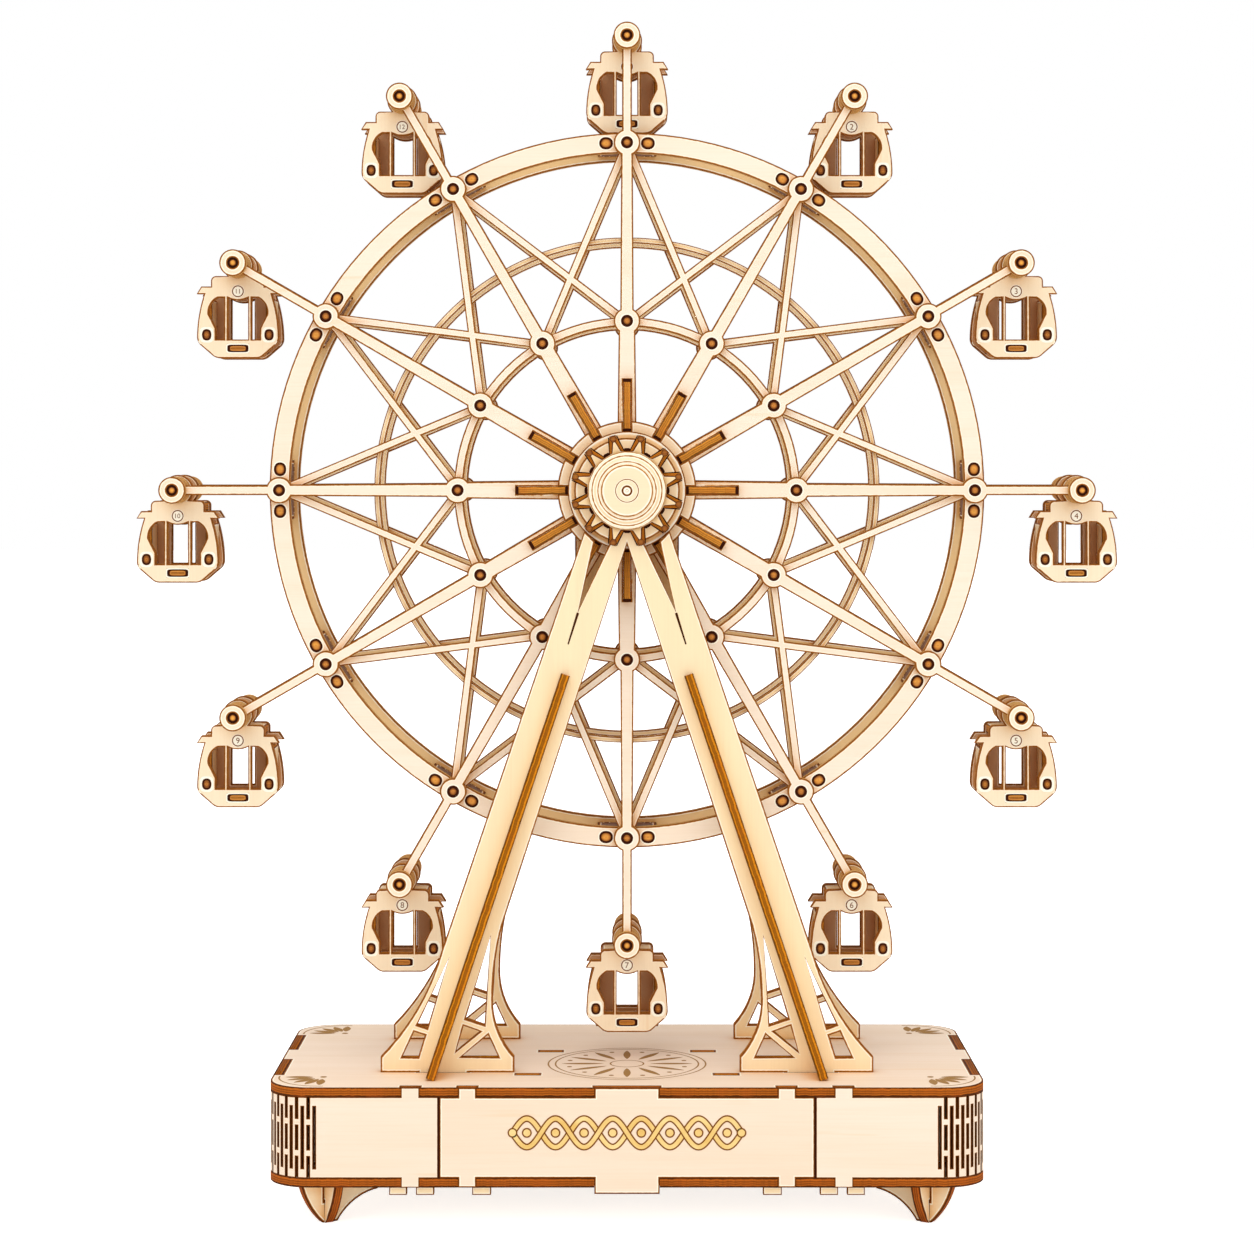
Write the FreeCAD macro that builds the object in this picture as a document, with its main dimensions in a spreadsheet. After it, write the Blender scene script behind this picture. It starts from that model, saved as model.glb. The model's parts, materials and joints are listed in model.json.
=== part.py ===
import FreeCAD, Part
import Sketcher
import math
import os
import re

# Hand-cranked ferris wheel toy of laser-cut plywood: a twelve-cabin wheel between two A-frames on a
# box with wrapped corners. Millimetres, +Z up, +Y to the back, origin on the floor under the centre.

SIZES = {
    # sheet and fits
    "ply": 2.5,                      # thickness of every plywood sheet
    "slot_gap": 0.1,                 # a slot is this much wider and longer than the tab in it
    "running_gap": 0.3,              # between a turning face and a still one
    "pin_clearance": 0.06,           # radial, between a turning pin and its hole
    # box
    "base_width": 192.5,
    "base_depth": 90.0,
    "corner_radius": 11.5,           # outside of the wrapped corners
    "wall_height": 21.6,             # between the bottom plate and the deck
    "seam_inset": 46.05,             # box end to the seam between a panel and a side wrap
    "seam_gap": 0.3,
    "centre_tab": 17.4,
    "centre_tab_drop": 1.7,          # the centre tab passes below the bottom plate
    "edge_tab": 4.9,                 # the two small tabs beside each seam
    "edge_tab_offset": 7.6,          # seam to the middle of an edge tab
    "side_tab": 21.0,
    "side_tab_spacing": 35.0,        # between the middles of the two tabs on a side
    "slit_pitch": 1.6,               # the bending slits in the wrapped corners
    "slit_width": 0.6,
    "slit_overrun": 1.4,             # from the end of the bend to the last slit on the flat
    "slit_long": 16.5,
    "slit_middle": 6.4,              # between two slits that are open to the edges
    "slit_bridge": 1.9,              # uncut wood between the three slits of a column
    # ribs inside the box
    "rib_front_inset": 17.7,         # front of the box to the middle of the front rib
    "rib_rear_inset": 40.4,          # back of the box to the middle of the rear rib
    "rib_tab": 6.3,
    "rib_front_tab_x": 27.0,
    "rib_rear_tab_x": 21.5,
    "rib_end_gap": 0.4,
    # feet
    "foot_height": 11.4,
    "foot_inset_x": 15.25,           # box end to the crossing of the two brackets of a foot
    "foot_inset_y": 10.0,
    "foot_turn": 30.0,               # degrees that the brackets stand askew to the box
    "foot_outer": 8.1,               # from the crossing to the outer top corner
    "foot_inner": 14.6,              # from the crossing to the inner end
    "foot_inner_depth": 4.1,         # height of the inner end
    "foot_outer_toe": 1.7,           # what meets the floor, from the crossing
    "foot_inner_toe": 2.6,
    "foot_outer_curve": 23.0,
    "foot_inner_curve": 15.9,
    # A-frames
    "deck_clearance": 7.6,           # under the lowest cabin
    "head_radius": 14.4,
    "rear_head_radius": 15.0,
    "bearing_radius": 16.2,
    "leg_foot_x": 53.17,             # where the middle line of a leg meets the deck
    "prong_outer_x": 11.7,
    "prong_outer_drop": 11.1,        # all drops of the frame top are below the axle
    "prong_tip_x": 8.8,
    "prong_tip_drop": 13.9,
    "fork_x": 13.4,
    "fork_drop": 33.2,
    "neck_x": 4.4,                   # half the width of the neck under the head
    "knee_x": 50.7,
    "knee_height": 33.1,             # all heights of the frame foot are above the deck
    "shoe_x": 67.3,
    "shoe_height": 4.2,
    "shoe_curve": 66.0,
    "instep_x": 30.8,
    "ankle_x": 36.7,
    "ankle_height": 20.0,
    "ankle_curve": 22.6,
    "shin_x": 34.1,
    "shin_height": 40.0,
    "shin_curve": 78.0,
    "leg_tab_inner": 43.4,
    "leg_tab_outer": 57.1,
    "window_sill": 4.1,
    "outer_window_top_x": 48.7,
    "outer_window_top": 31.1,
    "outer_window_toe": 61.4,
    "outer_window_heel": 57.1,
    "inner_window_top_x": 37.3,
    "inner_window_top": 37.0,
    "inner_window_heel": 47.2,
    "inner_window_toe": 35.1,
    "inner_window_waist_x": 39.0,
    "inner_window_waist": 12.5,
    "strut_width": 2.0,
    "outer_strut_height": 10.6,      # where the struts meet the leg
    "outer_strut_x": 55.6,
    "inner_strut_height": 14.2,
    "inner_strut_x": 46.0,
    # buttress ribs on the legs
    "buttress_top": 53.0,            # from the axle, along the leg
    "buttress_top_depth": 3.0,
    "buttress_depth": 11.8,
    "buttress_curve": 620.0,
    "buttress_tab": 14.0,
    "buttress_tab_margin": 12.0,
    # wheel
    "wheel_gap": 21.4,               # between the two lattice plates
    "side_clearance": 1.6,           # hub ring to bearing plate
    "axle_radius": 1.5,
    "hub_core_radius": 9.0,
    "hub_ring_radius": 19.1,
    "gusset_ply": 2.1,
    "gusset_inner": 16.1,
    "gusset_outer": 30.5,
    "gusset_waist": 2.2,             # the gussets are hollowed this much between the plates
    "inner_ring_radius": 47.9,
    "inner_ring_width": 2.5,
    "middle_ring_radius": 70.2,
    "middle_ring_width": 1.5,
    "rim_radius": 99.0,
    "rim_width": 5.6,
    "diagonal_width": 2.2,
    "eyelet_radius": 3.66,
    "inner_eyelet_place": 46.8,      # places along a spoke are from the axle
    "rim_eyelet_place": 96.1,
    "pivot_place": 125.4,
    "spoke_root": 5.4,
    "spoke_at_inner_eyelet": 4.6,
    "spoke_past_inner_eyelet": 3.7,
    "spoke_at_rim": 3.2,
    "spoke_past_rim": 2.7,
    "rim_spacer_length": 16.6,
    "rim_spacer_tab": 3.4,
    "rim_spacer_tab_offset": 5.8,
    # cabin pivots
    "pivot_radius": 1.5,
    "washer_radius": 3.7,
    # cabins; drops are below the pivot
    "cabin_depth": 14.0,
    "ear_radius": 4.2,
    "roof_drop": 3.0,
    "roof_half": 7.5,
    "roof_round": 1.4,
    "roof_step": 5.9,
    "eave_half": 11.5,
    "eave_slope": 1.3,
    "eave_drop": 8.0,
    "cabin_top_half": 9.4,
    "belly_half": 11.4,
    "belly_curve": 40.0,
    "chamfer_drop": 21.4,
    "chamfer_ease": 1.3,             # both ends of the chamfer run into their sides with a curve
    "chamfer_curve": 3.1,
    "cabin_bottom_half": 6.2,
    "cabin_bottom_drop": 25.9,
    "window_top_drop": 9.0,
    "window_bottom_drop": 20.7,
    "door_half": 2.87,
    "rear_door_half": 3.25,
    "door_arch_curve": 6.0,
    "mullion": 0.95,
    "side_window_half": 8.2,         # centre line to the widest part of a side window
    "side_window_curve": 4.6,
    "side_window_shoulder": 5.6,
    "side_window_wide_drop": 13.6,
    "side_window_foot": 6.2,
    "side_window_foot_drop": 17.6,
    "cabin_wall_x": 8.7,
    "cabin_wall_tab": 3.2,
    "cabin_wall_tab_drop": 19.4,
    "cabin_wall_top_drop": 9.4,
    "cabin_wall_bottom_drop": 21.2,
    "floor_drop": 23.2,              # middle of the floor's thickness
    "floor_half": 7.2,
    "floor_tab": 6.1,
    "roof_plate_drop": 4.7,          # middle of the roof plate's thickness
    "roof_plate_half": 7.0,
    # star and cap on the front
    "star_tip_radius": 15.5,
    "star_tip_half": 0.9,
    "star_valley_radius": 10.9,
    "star_valley_half": 0.85,
    "star_bevel": 0.75,
    "cap_radius": 10.6,
    "cap_rim": 1.2,
    "cap_rise": 1.3,
    "cap_top_radius": 6.9,
    # crank at the back
    "rear_boss_radius": 10.9,
    "crank_length": 31.0,
    "crank_angle": 21.0,             # rest position, from straight down towards the right leg
    "crank_half": 3.9,
    "crank_cap_radius": 5.4,
    "crank_cap_thickness": 1.6,
    "knob_radius": 4.5,
    "knob_neck_radius": 3.3,
    "knob_length": 12.6,
    "knob_end_round": 1.2,
    "pin_head_radius": 2.6,
    "pin_head_thickness": 0.9,
}

# lengths that follow from the sizes above
DERIVED = {
    "half_width": "base_width / 2",
    "half_depth": "base_depth / 2",
    "wall_z": "foot_height + ply",
    "deck_under": "wall_z + wall_height",
    "deck_z": "deck_under + ply",
    "hub_height": "pivot_place + cabin_bottom_drop + deck_clearance",
    "hub_z": "deck_z + hub_height",
    "leg_angle": "atan(leg_foot_x / hub_height)",
    "seam_place": "half_width - seam_inset",
    "rib_front_y": "half_depth - rib_front_inset",
    "rib_rear_y": "half_depth - rib_rear_inset",
    "foot_x": "half_width - foot_inset_x",
    "foot_y": "half_depth - foot_inset_y",
    "lattice_y": "wheel_gap / 2",
    "spoke_y": "lattice_y + ply",
    "ring_y": "spoke_y + ply",
    "bearing_y": "ring_y + ply + side_clearance",
    "frame_y": "bearing_y + ply",
    "frame_face_y": "frame_y + ply",
    "star_face_y": "frame_face_y + ply",
    "cap_y": "star_face_y + running_gap",
    "arm_face_y": "cap_y + ply",
    "knob_y": "arm_face_y + running_gap",
    "pin_end_y": "knob_y + knob_length + running_gap + pin_head_thickness",
    "crank_x": "crank_length * sin(crank_angle)",
    "crank_z": "hub_z - crank_length * cos(crank_angle)",
    "inner_edge_tab": "seam_place - edge_tab_offset",
    "outer_edge_tab": "seam_place + edge_tab_offset",
}

SPOKES = 12
LEFT, RIGHT = 1, -1                  # the way an arc turns on its way to the next corner

doc = FreeCAD.newDocument("CrankFerrisWheel")
sheet = doc.addObject("Spreadsheet::Sheet", "Sizes")
for row, (alias, size) in enumerate(SIZES.items(), 1):
    sheet.set(f"A{row}", alias)
    sheet.set(f"B{row}", str(size))
    sheet.setAlias(f"B{row}", alias)
doc.recompute()

nodes = []                           # the sub-parts that are written to files


# formulas

def formula(text):
    # each size name becomes a reference to the sheet, and each derived name its own formula
    def reference(match):
        word = match.group(0)
        if word in DERIVED:
            return "(" + formula(DERIVED[word]) + ")"
        return "Sizes." + word if word in SIZES else word
    return re.sub(r"[a-z_]+", reference, str(text))


def value(text):
    result = sheet.evalExpression(formula(text))
    return float(getattr(result, "Value", result))


def turned(along, across, angle):
    # a point that lies along a spoke at this angle from straight up, clockwise, and across it
    return (f"({along}) * sin({angle}) + ({across}) * cos({angle})",
            f"({along}) * cos({angle}) - ({across}) * sin({angle})")


def box_loop(left, bottom, right, top):
    return [(left, bottom), (right, bottom), (right, top), (left, top)]


def centred_box(x, y, width, height):
    return box_loop(f"{x} - ({width}) / 2", f"{y} - ({height}) / 2",
                    f"{x} + ({width}) / 2", f"{y} + ({height}) / 2")


def bar_loop(start, end, width):
    # a straight bar between two points, given as pairs of formulas
    x0, y0, x1, y1 = value(start[0]), value(start[1]), value(end[0]), value(end[1])
    length = math.hypot(x1 - x0, y1 - y0)
    side = (-(y1 - y0) / length / 2, (x1 - x0) / length / 2)
    offset = (f"({side[0]:.9f}) * ({width})", f"({side[1]:.9f}) * ({width})")
    return [(f"{start[0]} + {offset[0]}", f"{start[1]} + {offset[1]}"),
            (f"{start[0]} - {offset[0]}", f"{start[1]} - {offset[1]}"),
            (f"{end[0]} - {offset[0]}", f"{end[1]} - {offset[1]}"),
            (f"{end[0]} + {offset[0]}", f"{end[1]} + {offset[1]}")]


def mirrored(loop):
    # the same closed loop on the other side of the vertical axis
    flipped = []
    for index in range(len(loop) - 1, -1, -1):
        arc = loop[index - 1][2:]
        flipped.append((f"-({loop[index][0]})", loop[index][1], *arc))
    return flipped


def both_sides(half):
    # closes a half outline with its mirror image; corners on the axis aren't repeated
    other = []
    for index in range(len(half) - 1, -1, -1):
        if half[index][0] == "0":
            continue
        arc = half[index - 1][2:] if index else ()
        other.append((f"-({half[index][0]})", half[index][1], *arc))
    return half + other


# sketches and features

def new_body(label):
    body = doc.addObject("PartDesign::Body", label)
    body.Label = label
    return body


def keep(part):
    nodes.append(part)
    return part


def place(part, x="0", y="0", z="0"):
    for axis, length in zip("xyz", (x, y, z)):
        part.setExpression(f".Placement.Base.{axis}", formula(length))
    return part


def origin_feature(body, role):
    return next(item for item in body.Origin.OriginFeatures if item.Role == role)


def new_sketch(body, plane, name, offset="0"):
    sketch = body.newObject("Sketcher::SketchObject", name)
    sketch.AttachmentSupport = [(origin_feature(body, plane), "")]
    sketch.MapMode = "FlatFace"
    sketch.setExpression(".AttachmentOffset.Base.z", formula(offset))
    return sketch


def arc_between(start, end, radius, turn):
    half = math.hypot(end.x - start.x, end.y - start.y) / 2
    rise = math.sqrt(max(radius ** 2 - half ** 2, 0.0))
    left = FreeCAD.Vector(start.y - end.y, end.x - start.x, 0) / (2 * half)
    centre = (start + end) / 2 + left * rise * turn
    first, last = (start, end) if turn == LEFT else (end, start)
    begin = math.atan2(first.y - centre.y, first.x - centre.x)
    finish = math.atan2(last.y - centre.y, last.x - centre.x)
    if finish <= begin:
        finish += 2 * math.pi
    circle = Part.Circle(centre, FreeCAD.Vector(0, 0, 1), radius)
    return Part.ArcOfCircle(circle, begin, finish)


def add_loop(sketch, corners):
    # corners are (x, y) or (x, y, radius, turn), where the stretch to the next corner is an arc;
    # every coordinate and radius is a formula that stays bound to the sheet
    points = [FreeCAD.Vector(value(corner[0]), value(corner[1]), 0) for corner in corners]
    edges = []
    for index, corner in enumerate(corners):
        start, end = points[index], points[(index + 1) % len(points)]
        if len(corner) > 2:
            edge = arc_between(start, end, value(corner[2]), corner[3])
            ends = (1, 2) if corner[3] == LEFT else (2, 1)
        else:
            edge = Part.LineSegment(start, end)
            ends = (1, 2)
        edges.append((sketch.addGeometry(edge, False), *ends))
    rules, bound = [], []
    for index, corner in enumerate(corners):
        edge, begins, finishes = edges[index]
        following, follows, _ = edges[(index + 1) % len(edges)]
        rules.append(Sketcher.Constraint("Coincident", edge, finishes, following, follows))
        bound.append(None)
        rules.append(Sketcher.Constraint("DistanceX", edge, begins, points[index].x))
        bound.append(corner[0])
        rules.append(Sketcher.Constraint("DistanceY", edge, begins, points[index].y))
        bound.append(corner[1])
        if len(corner) > 2:
            rules.append(Sketcher.Constraint("Radius", edge, value(corner[2])))
            bound.append(corner[2])
    bind(sketch, rules, bound)


def add_circle(sketch, x, y, radius):
    centre = FreeCAD.Vector(value(x), value(y), 0)
    circle = Part.Circle(centre, FreeCAD.Vector(0, 0, 1), value(radius))
    edge = sketch.addGeometry(circle, False)
    rules = [Sketcher.Constraint("DistanceX", edge, 3, centre.x),
             Sketcher.Constraint("DistanceY", edge, 3, centre.y),
             Sketcher.Constraint("Radius", edge, value(radius))]
    bind(sketch, rules, [x, y, radius])


def bind(sketch, rules, lengths):
    first = sketch.ConstraintCount
    sketch.addConstraint(rules)
    for index, length in enumerate(lengths):
        if length is not None:
            sketch.setExpression(f"Constraints[{first + index}]", formula(length))


def draw(sketch, loops=(), circles=()):
    for loop in loops:
        add_loop(sketch, loop)
    for circle in circles:
        add_circle(sketch, *circle)
    return sketch


def pad(body, sketch, length):
    feature = body.newObject("PartDesign::Pad", sketch.Name + "Pad")
    feature.Profile = sketch
    feature.setExpression("Length", formula(length))
    body.Tip = feature
    return feature


def pocket(body, sketch, length):
    # cuts the way that a pad of the same sketch would grow
    doc.recompute()
    before = body.Shape.Volume
    feature = body.newObject("PartDesign::Pocket", sketch.Name + "Pocket")
    feature.Profile = sketch
    feature.Reversed = True
    feature.setExpression("Length", formula(length))
    body.Tip = feature
    doc.recompute()
    if body.Shape.Volume >= before:
        raise RuntimeError(f"{feature.Label} cuts nothing")
    return feature


def revolve(body, sketch):
    feature = body.newObject("PartDesign::Revolution", sketch.Name + "Revolution")
    feature.Profile = sketch
    feature.ReferenceAxis = (origin_feature(body, "Y_Axis"), [""])
    feature.Angle = 360
    body.Tip = feature
    return feature


def polar(body, features):
    # repeats features about the wheel's axis, once for each spoke
    feature = body.newObject("PartDesign::PolarPattern", body.Name + "Pattern")
    feature.Originals = features
    feature.Axis = (origin_feature(body, "Y_Axis"), [""])
    feature.Angle = 360
    feature.Occurrences = SPOKES
    body.Tip = feature
    return feature


def upright_plate(label, y, z, loops=(), circles=(), thickness="ply"):
    # a plate that stands across the Y axis, its rear face at y
    body = new_body(label)
    sketch = draw(new_sketch(body, "XZ_Plane", label + "_outline"), loops, circles)
    pad(body, sketch, thickness)
    return place(body, "0", y, z)


def level_plate(label, z, loops=(), circles=(), thickness="ply"):
    body = new_body(label)
    sketch = draw(new_sketch(body, "XY_Plane", label + "_outline"), loops, circles)
    pad(body, sketch, thickness)
    return place(body, "0", "0", z)


def group(label, parts):
    compound = doc.addObject("Part::Compound", label)
    compound.Label = label
    compound.Links = parts
    return compound


# the box

def wall_tabs():
    # (centre, length) of the tabs along the front or back edge
    return [("0", "centre_tab"),
            ("inner_edge_tab", "edge_tab"), ("-(inner_edge_tab)", "edge_tab"),
            ("outer_edge_tab", "edge_tab"), ("-(outer_edge_tab)", "edge_tab")]


def rounded_outline():
    straight_x, straight_y = "(half_width - corner_radius)", "(half_depth - corner_radius)"
    return [(straight_x, "-half_depth", "corner_radius", LEFT), ("half_width", f"-{straight_y}"),
            ("half_width", straight_y, "corner_radius", LEFT), (straight_x, "half_depth"),
            (f"-{straight_x}", "half_depth", "corner_radius", LEFT), ("-half_width", straight_y),
            ("-half_width", f"-{straight_y}", "corner_radius", LEFT),
            (f"-{straight_x}", "-half_depth")]


def edge_notches():
    notches = []
    for centre, length in wall_tabs():
        for side in ("-", ""):
            middle = f"{side}(half_depth - ply / 2 + slot_gap / 2)"
            notches.append(centred_box(centre, middle, f"{length} + slot_gap", "ply + slot_gap * 2"))
    for side_x in ("-", ""):
        for side_y in ("-", ""):
            middle = f"{side_x}(half_width - ply / 2 + slot_gap / 2)"
            notches.append(centred_box(middle, f"{side_y}side_tab_spacing / 2",
                                       "ply + slot_gap * 2", "side_tab + slot_gap"))
    return notches


def rib_slots():
    slots = []
    for side in ("-", ""):
        for x, y in (("rib_front_tab_x", "-rib_front_y"), ("rib_rear_tab_x", "rib_rear_y")):
            slots.append(centred_box(side + x, y, "rib_tab + slot_gap", "ply + slot_gap"))
    return slots


def leg_slots():
    middle = "(leg_tab_inner + leg_tab_outer) / 2"
    length = "leg_tab_outer - leg_tab_inner + slot_gap"
    slots = []
    for side_x in ("-", ""):
        for side_y in ("-", ""):
            slots.append(centred_box(f"{side_x}{middle}", f"{side_y}(frame_y + ply / 2)",
                                     length, "ply + slot_gap"))
    return slots


def make_plates():
    for label, z, slots in (("bottom_plate", "foot_height", rib_slots()),
                            ("deck_plate", "deck_under", rib_slots() + leg_slots())):
        body = level_plate(label, z, [rounded_outline()])
        cuts = draw(new_sketch(body, "XY_Plane", label + "_slots"), edge_notches() + slots)
        pocket(body, cuts, "ply")
        keep(body)


def make_panels():
    half = [("0", "wall_height + ply"),
            ("centre_tab / 2", "wall_height + ply"), ("centre_tab / 2", "wall_height"),
            ("inner_edge_tab - edge_tab / 2", "wall_height"),
            ("inner_edge_tab - edge_tab / 2", "wall_height + ply"),
            ("inner_edge_tab + edge_tab / 2", "wall_height + ply"),
            ("inner_edge_tab + edge_tab / 2", "wall_height"),
            ("seam_place - seam_gap / 2", "wall_height"), ("seam_place - seam_gap / 2", "0"),
            ("inner_edge_tab + edge_tab / 2", "0"), ("inner_edge_tab + edge_tab / 2", "-ply"),
            ("inner_edge_tab - edge_tab / 2", "-ply"), ("inner_edge_tab - edge_tab / 2", "0"),
            ("centre_tab / 2", "0"), ("centre_tab / 2", "-ply - centre_tab_drop"),
            ("0", "-ply - centre_tab_drop")]
    keep(upright_plate("front_panel", "ply - half_depth", "wall_z", [both_sides(half)]))
    keep(upright_plate("rear_panel", "half_depth", "wall_z", [both_sides(half)]))


def make_inner_ribs():
    for label, y, tab_x in (("inner_rib_front", "ply / 2 - rib_front_y", "rib_front_tab_x"),
                            ("inner_rib_rear", "ply / 2 + rib_rear_y", "rib_rear_tab_x")):
        half = [("0", "wall_height"),
                (f"{tab_x} - rib_tab / 2", "wall_height"), (f"{tab_x} - rib_tab / 2", "wall_height + ply"),
                (f"{tab_x} + rib_tab / 2", "wall_height + ply"), (f"{tab_x} + rib_tab / 2", "wall_height"),
                ("half_width - ply - rib_end_gap", "wall_height"), ("half_width - ply - rib_end_gap", "0"),
                (f"{tab_x} + rib_tab / 2", "0"), (f"{tab_x} + rib_tab / 2", "-ply"),
                (f"{tab_x} - rib_tab / 2", "-ply"), (f"{tab_x} - rib_tab / 2", "0"), ("0", "0")]
        keep(upright_plate(label, y, "wall_z", [both_sides(half)]))


def block(x, y, z, length, width, height):
    # a box from the middle of its plan and its lowest height
    return Part.makeBox(length, width, height, FreeCAD.Vector(x - length / 2, y - width / 2, z))


def bending_slits(centre, start_angle, way):
    # columns of upright slits that let the wall bend round a corner: one long slit takes turns with
    # three short ones, so the wood between them twists; the first column lies on the flat before the bend
    radius, ply, overrun = value("corner_radius"), value("ply"), value("slit_overrun")
    height, bridge = value("wall_height"), value("slit_bridge")
    long, inner = value("slit_long"), value("slit_middle")
    outer = (height - inner) / 2 - bridge
    bend = radius * math.pi / 2
    columns = int((bend + 2 * overrun) / value("slit_pitch")) + 1
    slits = []
    for column in range(columns):
        if column % 2:
            spans = [(0, outer), (outer + bridge, inner), (height - outer, outer)]
        else:
            spans = [((height - long) / 2, long)]
        along = column * value("slit_pitch") - overrun
        bent = min(max(along, 0), bend)
        for low, length in spans:
            slit = block(radius - ply / 2, way * (along - bent), low, ply * 2, value("slit_width"), length)
            slit.rotate(FreeCAD.Vector(0, 0, 0), FreeCAD.Vector(0, 0, 1),
                        start_angle + way * math.degrees(bent / radius))
            slit.translate(centre)
            slits.append(slit)
    return slits


def make_side_wrap(label, side):
    # one thin wall that runs from the front seam round both corners to the back seam
    half_width, half_depth, ply = value("half_width"), value("half_depth"), value("ply")
    radius, height = value("corner_radius"), value("wall_height")
    seam = value("seam_place + seam_gap / 2")

    def half_slab(inset):
        reach = half_width - inset
        slab = block(reach / 2, 0, 0, reach, 2 * (half_depth - inset), height)
        upright = [edge for edge in slab.Edges if abs(edge.tangentAt(0).z) > 0.9
                   and edge.CenterOfMass.x > reach - 0.01]
        return slab.makeFillet(radius - inset, upright)

    wall = half_slab(0).cut(half_slab(ply)).cut(block(0, 0, 0, 2 * seam, 3 * half_depth, height))
    tabs = []
    for low, tall in ((height, ply), (-ply, ply)):
        for across in (-1, 1):
            tabs.append(block(value("outer_edge_tab"), across * (half_depth - ply / 2), low,
                              value("edge_tab"), ply, tall))
            tabs.append(block(half_width - ply / 2, across * value("side_tab_spacing") / 2, low,
                              ply, value("side_tab"), tall))
    corner_x, corner_y = half_width - radius, half_depth - radius
    slits = (bending_slits(FreeCAD.Vector(corner_x, corner_y, 0), 90.0, -1)
             + bending_slits(FreeCAD.Vector(corner_x, -corner_y, 0), -90.0, 1))
    shape = wall.fuse(tabs).removeSplitter().cut(slits)
    if side < 0:
        shape.rotate(FreeCAD.Vector(0, 0, 0), FreeCAD.Vector(0, 0, 1), 180)
    part = doc.addObject("Part::Feature", label)
    part.Label = label
    part.Shape = shape.Solids[0]
    keep(place(part, "0", "0", "wall_z"))


def make_feet():
    # each foot is two curved brackets that cross; one is slotted from above, the other from below
    slot = "(ply + slot_gap) / 2"
    middle = "foot_height / 2"
    outer = [("-foot_outer", "foot_height", "foot_outer_curve", LEFT), ("-foot_outer_toe", "0")]
    inner = [("foot_inner_toe", "0", "foot_inner_curve", RIGHT),
             ("foot_inner", "foot_height - foot_inner_depth"), ("foot_inner", "foot_height")]
    slotted_above = outer + inner + [(slot, "foot_height"), (slot, middle),
                                     (f"-{slot}", middle), (f"-{slot}", "foot_height")]
    slotted_below = outer + [(f"-{slot}", "0"), (f"-{slot}", middle), (slot, middle), (slot, "0")] + inner
    for row, side_y, turn_y in (("front", "-", 1), ("rear", "", -1)):
        brackets = []
        for column, side_x, turn_x in (("left", "-", 1), ("right", "", -1)):
            askew = turn_x * turn_y * value("foot_turn")
            for name, loop, angle in (("across", slotted_above, 0 if turn_x > 0 else 180),
                                      ("along", slotted_below, 90 * turn_y)):
                body = new_body(f"{row}_{column}_bracket_{name}")
                sketch = draw(new_sketch(body, "XZ_Plane", body.Label + "_outline"), [loop])
                feature = pad(body, sketch, "ply")
                feature.Midplane = True
                body.Placement.Rotation = FreeCAD.Rotation(FreeCAD.Vector(0, 0, 1), angle + askew)
                place(body, f"{side_x}foot_x", f"{side_y}foot_y", "0")
                brackets.append(body)
        keep(group(f"{row}_feet", brackets))


# the A-frames

def frame_heads():
    # the top of an A-frame's right half, from the leg's outer edge: the front one is forked, and the
    # rear one has straight shoulders
    slope = "(hub_height - knee_height - prong_outer_drop) / (knee_x - prong_outer_x)"
    shoulder = f"prong_outer_drop + (rear_head_radius - prong_outer_x) * {slope}"
    forked = [("prong_outer_x", "-prong_outer_drop"),
              ("prong_tip_x", "-prong_tip_drop"),
              ("fork_x", "-fork_drop"),
              ("neck_x", "-sqrt(head_radius ^ 2 - neck_x ^ 2)", "head_radius", LEFT),
              ("head_radius", "0", "head_radius", LEFT), ("0", "head_radius", "head_radius", LEFT)]
    plain = [("rear_head_radius", f"-({shoulder})"), ("rear_head_radius", "0", "rear_head_radius", LEFT),
             ("0", "rear_head_radius", "rear_head_radius", LEFT)]
    return forked, plain


def a_frame_outline(head):
    # the right half from the notch between the legs to the top of the head; heights from the axle
    deck = "-hub_height"
    return both_sides([
        ("0", "-head_radius"),
        ("shin_x", f"{deck} + shin_height", "shin_curve", RIGHT),
        ("ankle_x", f"{deck} + ankle_height", "ankle_curve", RIGHT),
        ("instep_x", f"{deck} + shoe_height"),
        ("instep_x", deck),
        ("leg_tab_inner", deck), ("leg_tab_inner", f"{deck} - ply"),
        ("leg_tab_outer", f"{deck} - ply"), ("leg_tab_outer", deck),
        ("shoe_x", deck),
        ("shoe_x", f"{deck} + shoe_height", "shoe_curve", RIGHT),
        ("knee_x", f"{deck} + knee_height"),
    ] + head)


def frame_windows():
    deck = "-hub_height"
    sill = f"{deck} + window_sill"
    outer = [("outer_window_top_x", f"{deck} + outer_window_top"),
             ("outer_window_heel", sill), ("outer_window_toe", sill)]
    inner = [("inner_window_top_x", f"{deck} + inner_window_top"),
             ("inner_window_waist_x", f"{deck} + inner_window_waist"),
             ("inner_window_toe", sill), ("inner_window_heel", sill)]
    return [outer, mirrored(outer), inner, mirrored(inner)]


def frame_struts():
    # one strut in the outer window, and two that meet in the inner one
    deck = "-hub_height"
    outer_foot = ("outer_window_toe - strut_width", f"{deck} + outer_strut_height + strut_width")
    outer_top = ("outer_strut_x - strut_width", f"{deck} + outer_strut_height")
    waist = ("inner_window_waist_x - strut_width / 2", f"{deck} + inner_window_waist - strut_width / 2")
    inner_top = ("inner_strut_x", f"{deck} + inner_strut_height")
    heel = ("inner_window_heel + strut_width / 2", f"{deck} + window_sill - strut_width / 2")
    return [bar_loop(outer_foot, outer_top, "strut_width"), bar_loop(waist, inner_top, "strut_width"),
            bar_loop(waist, heel, "strut_width")]


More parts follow.
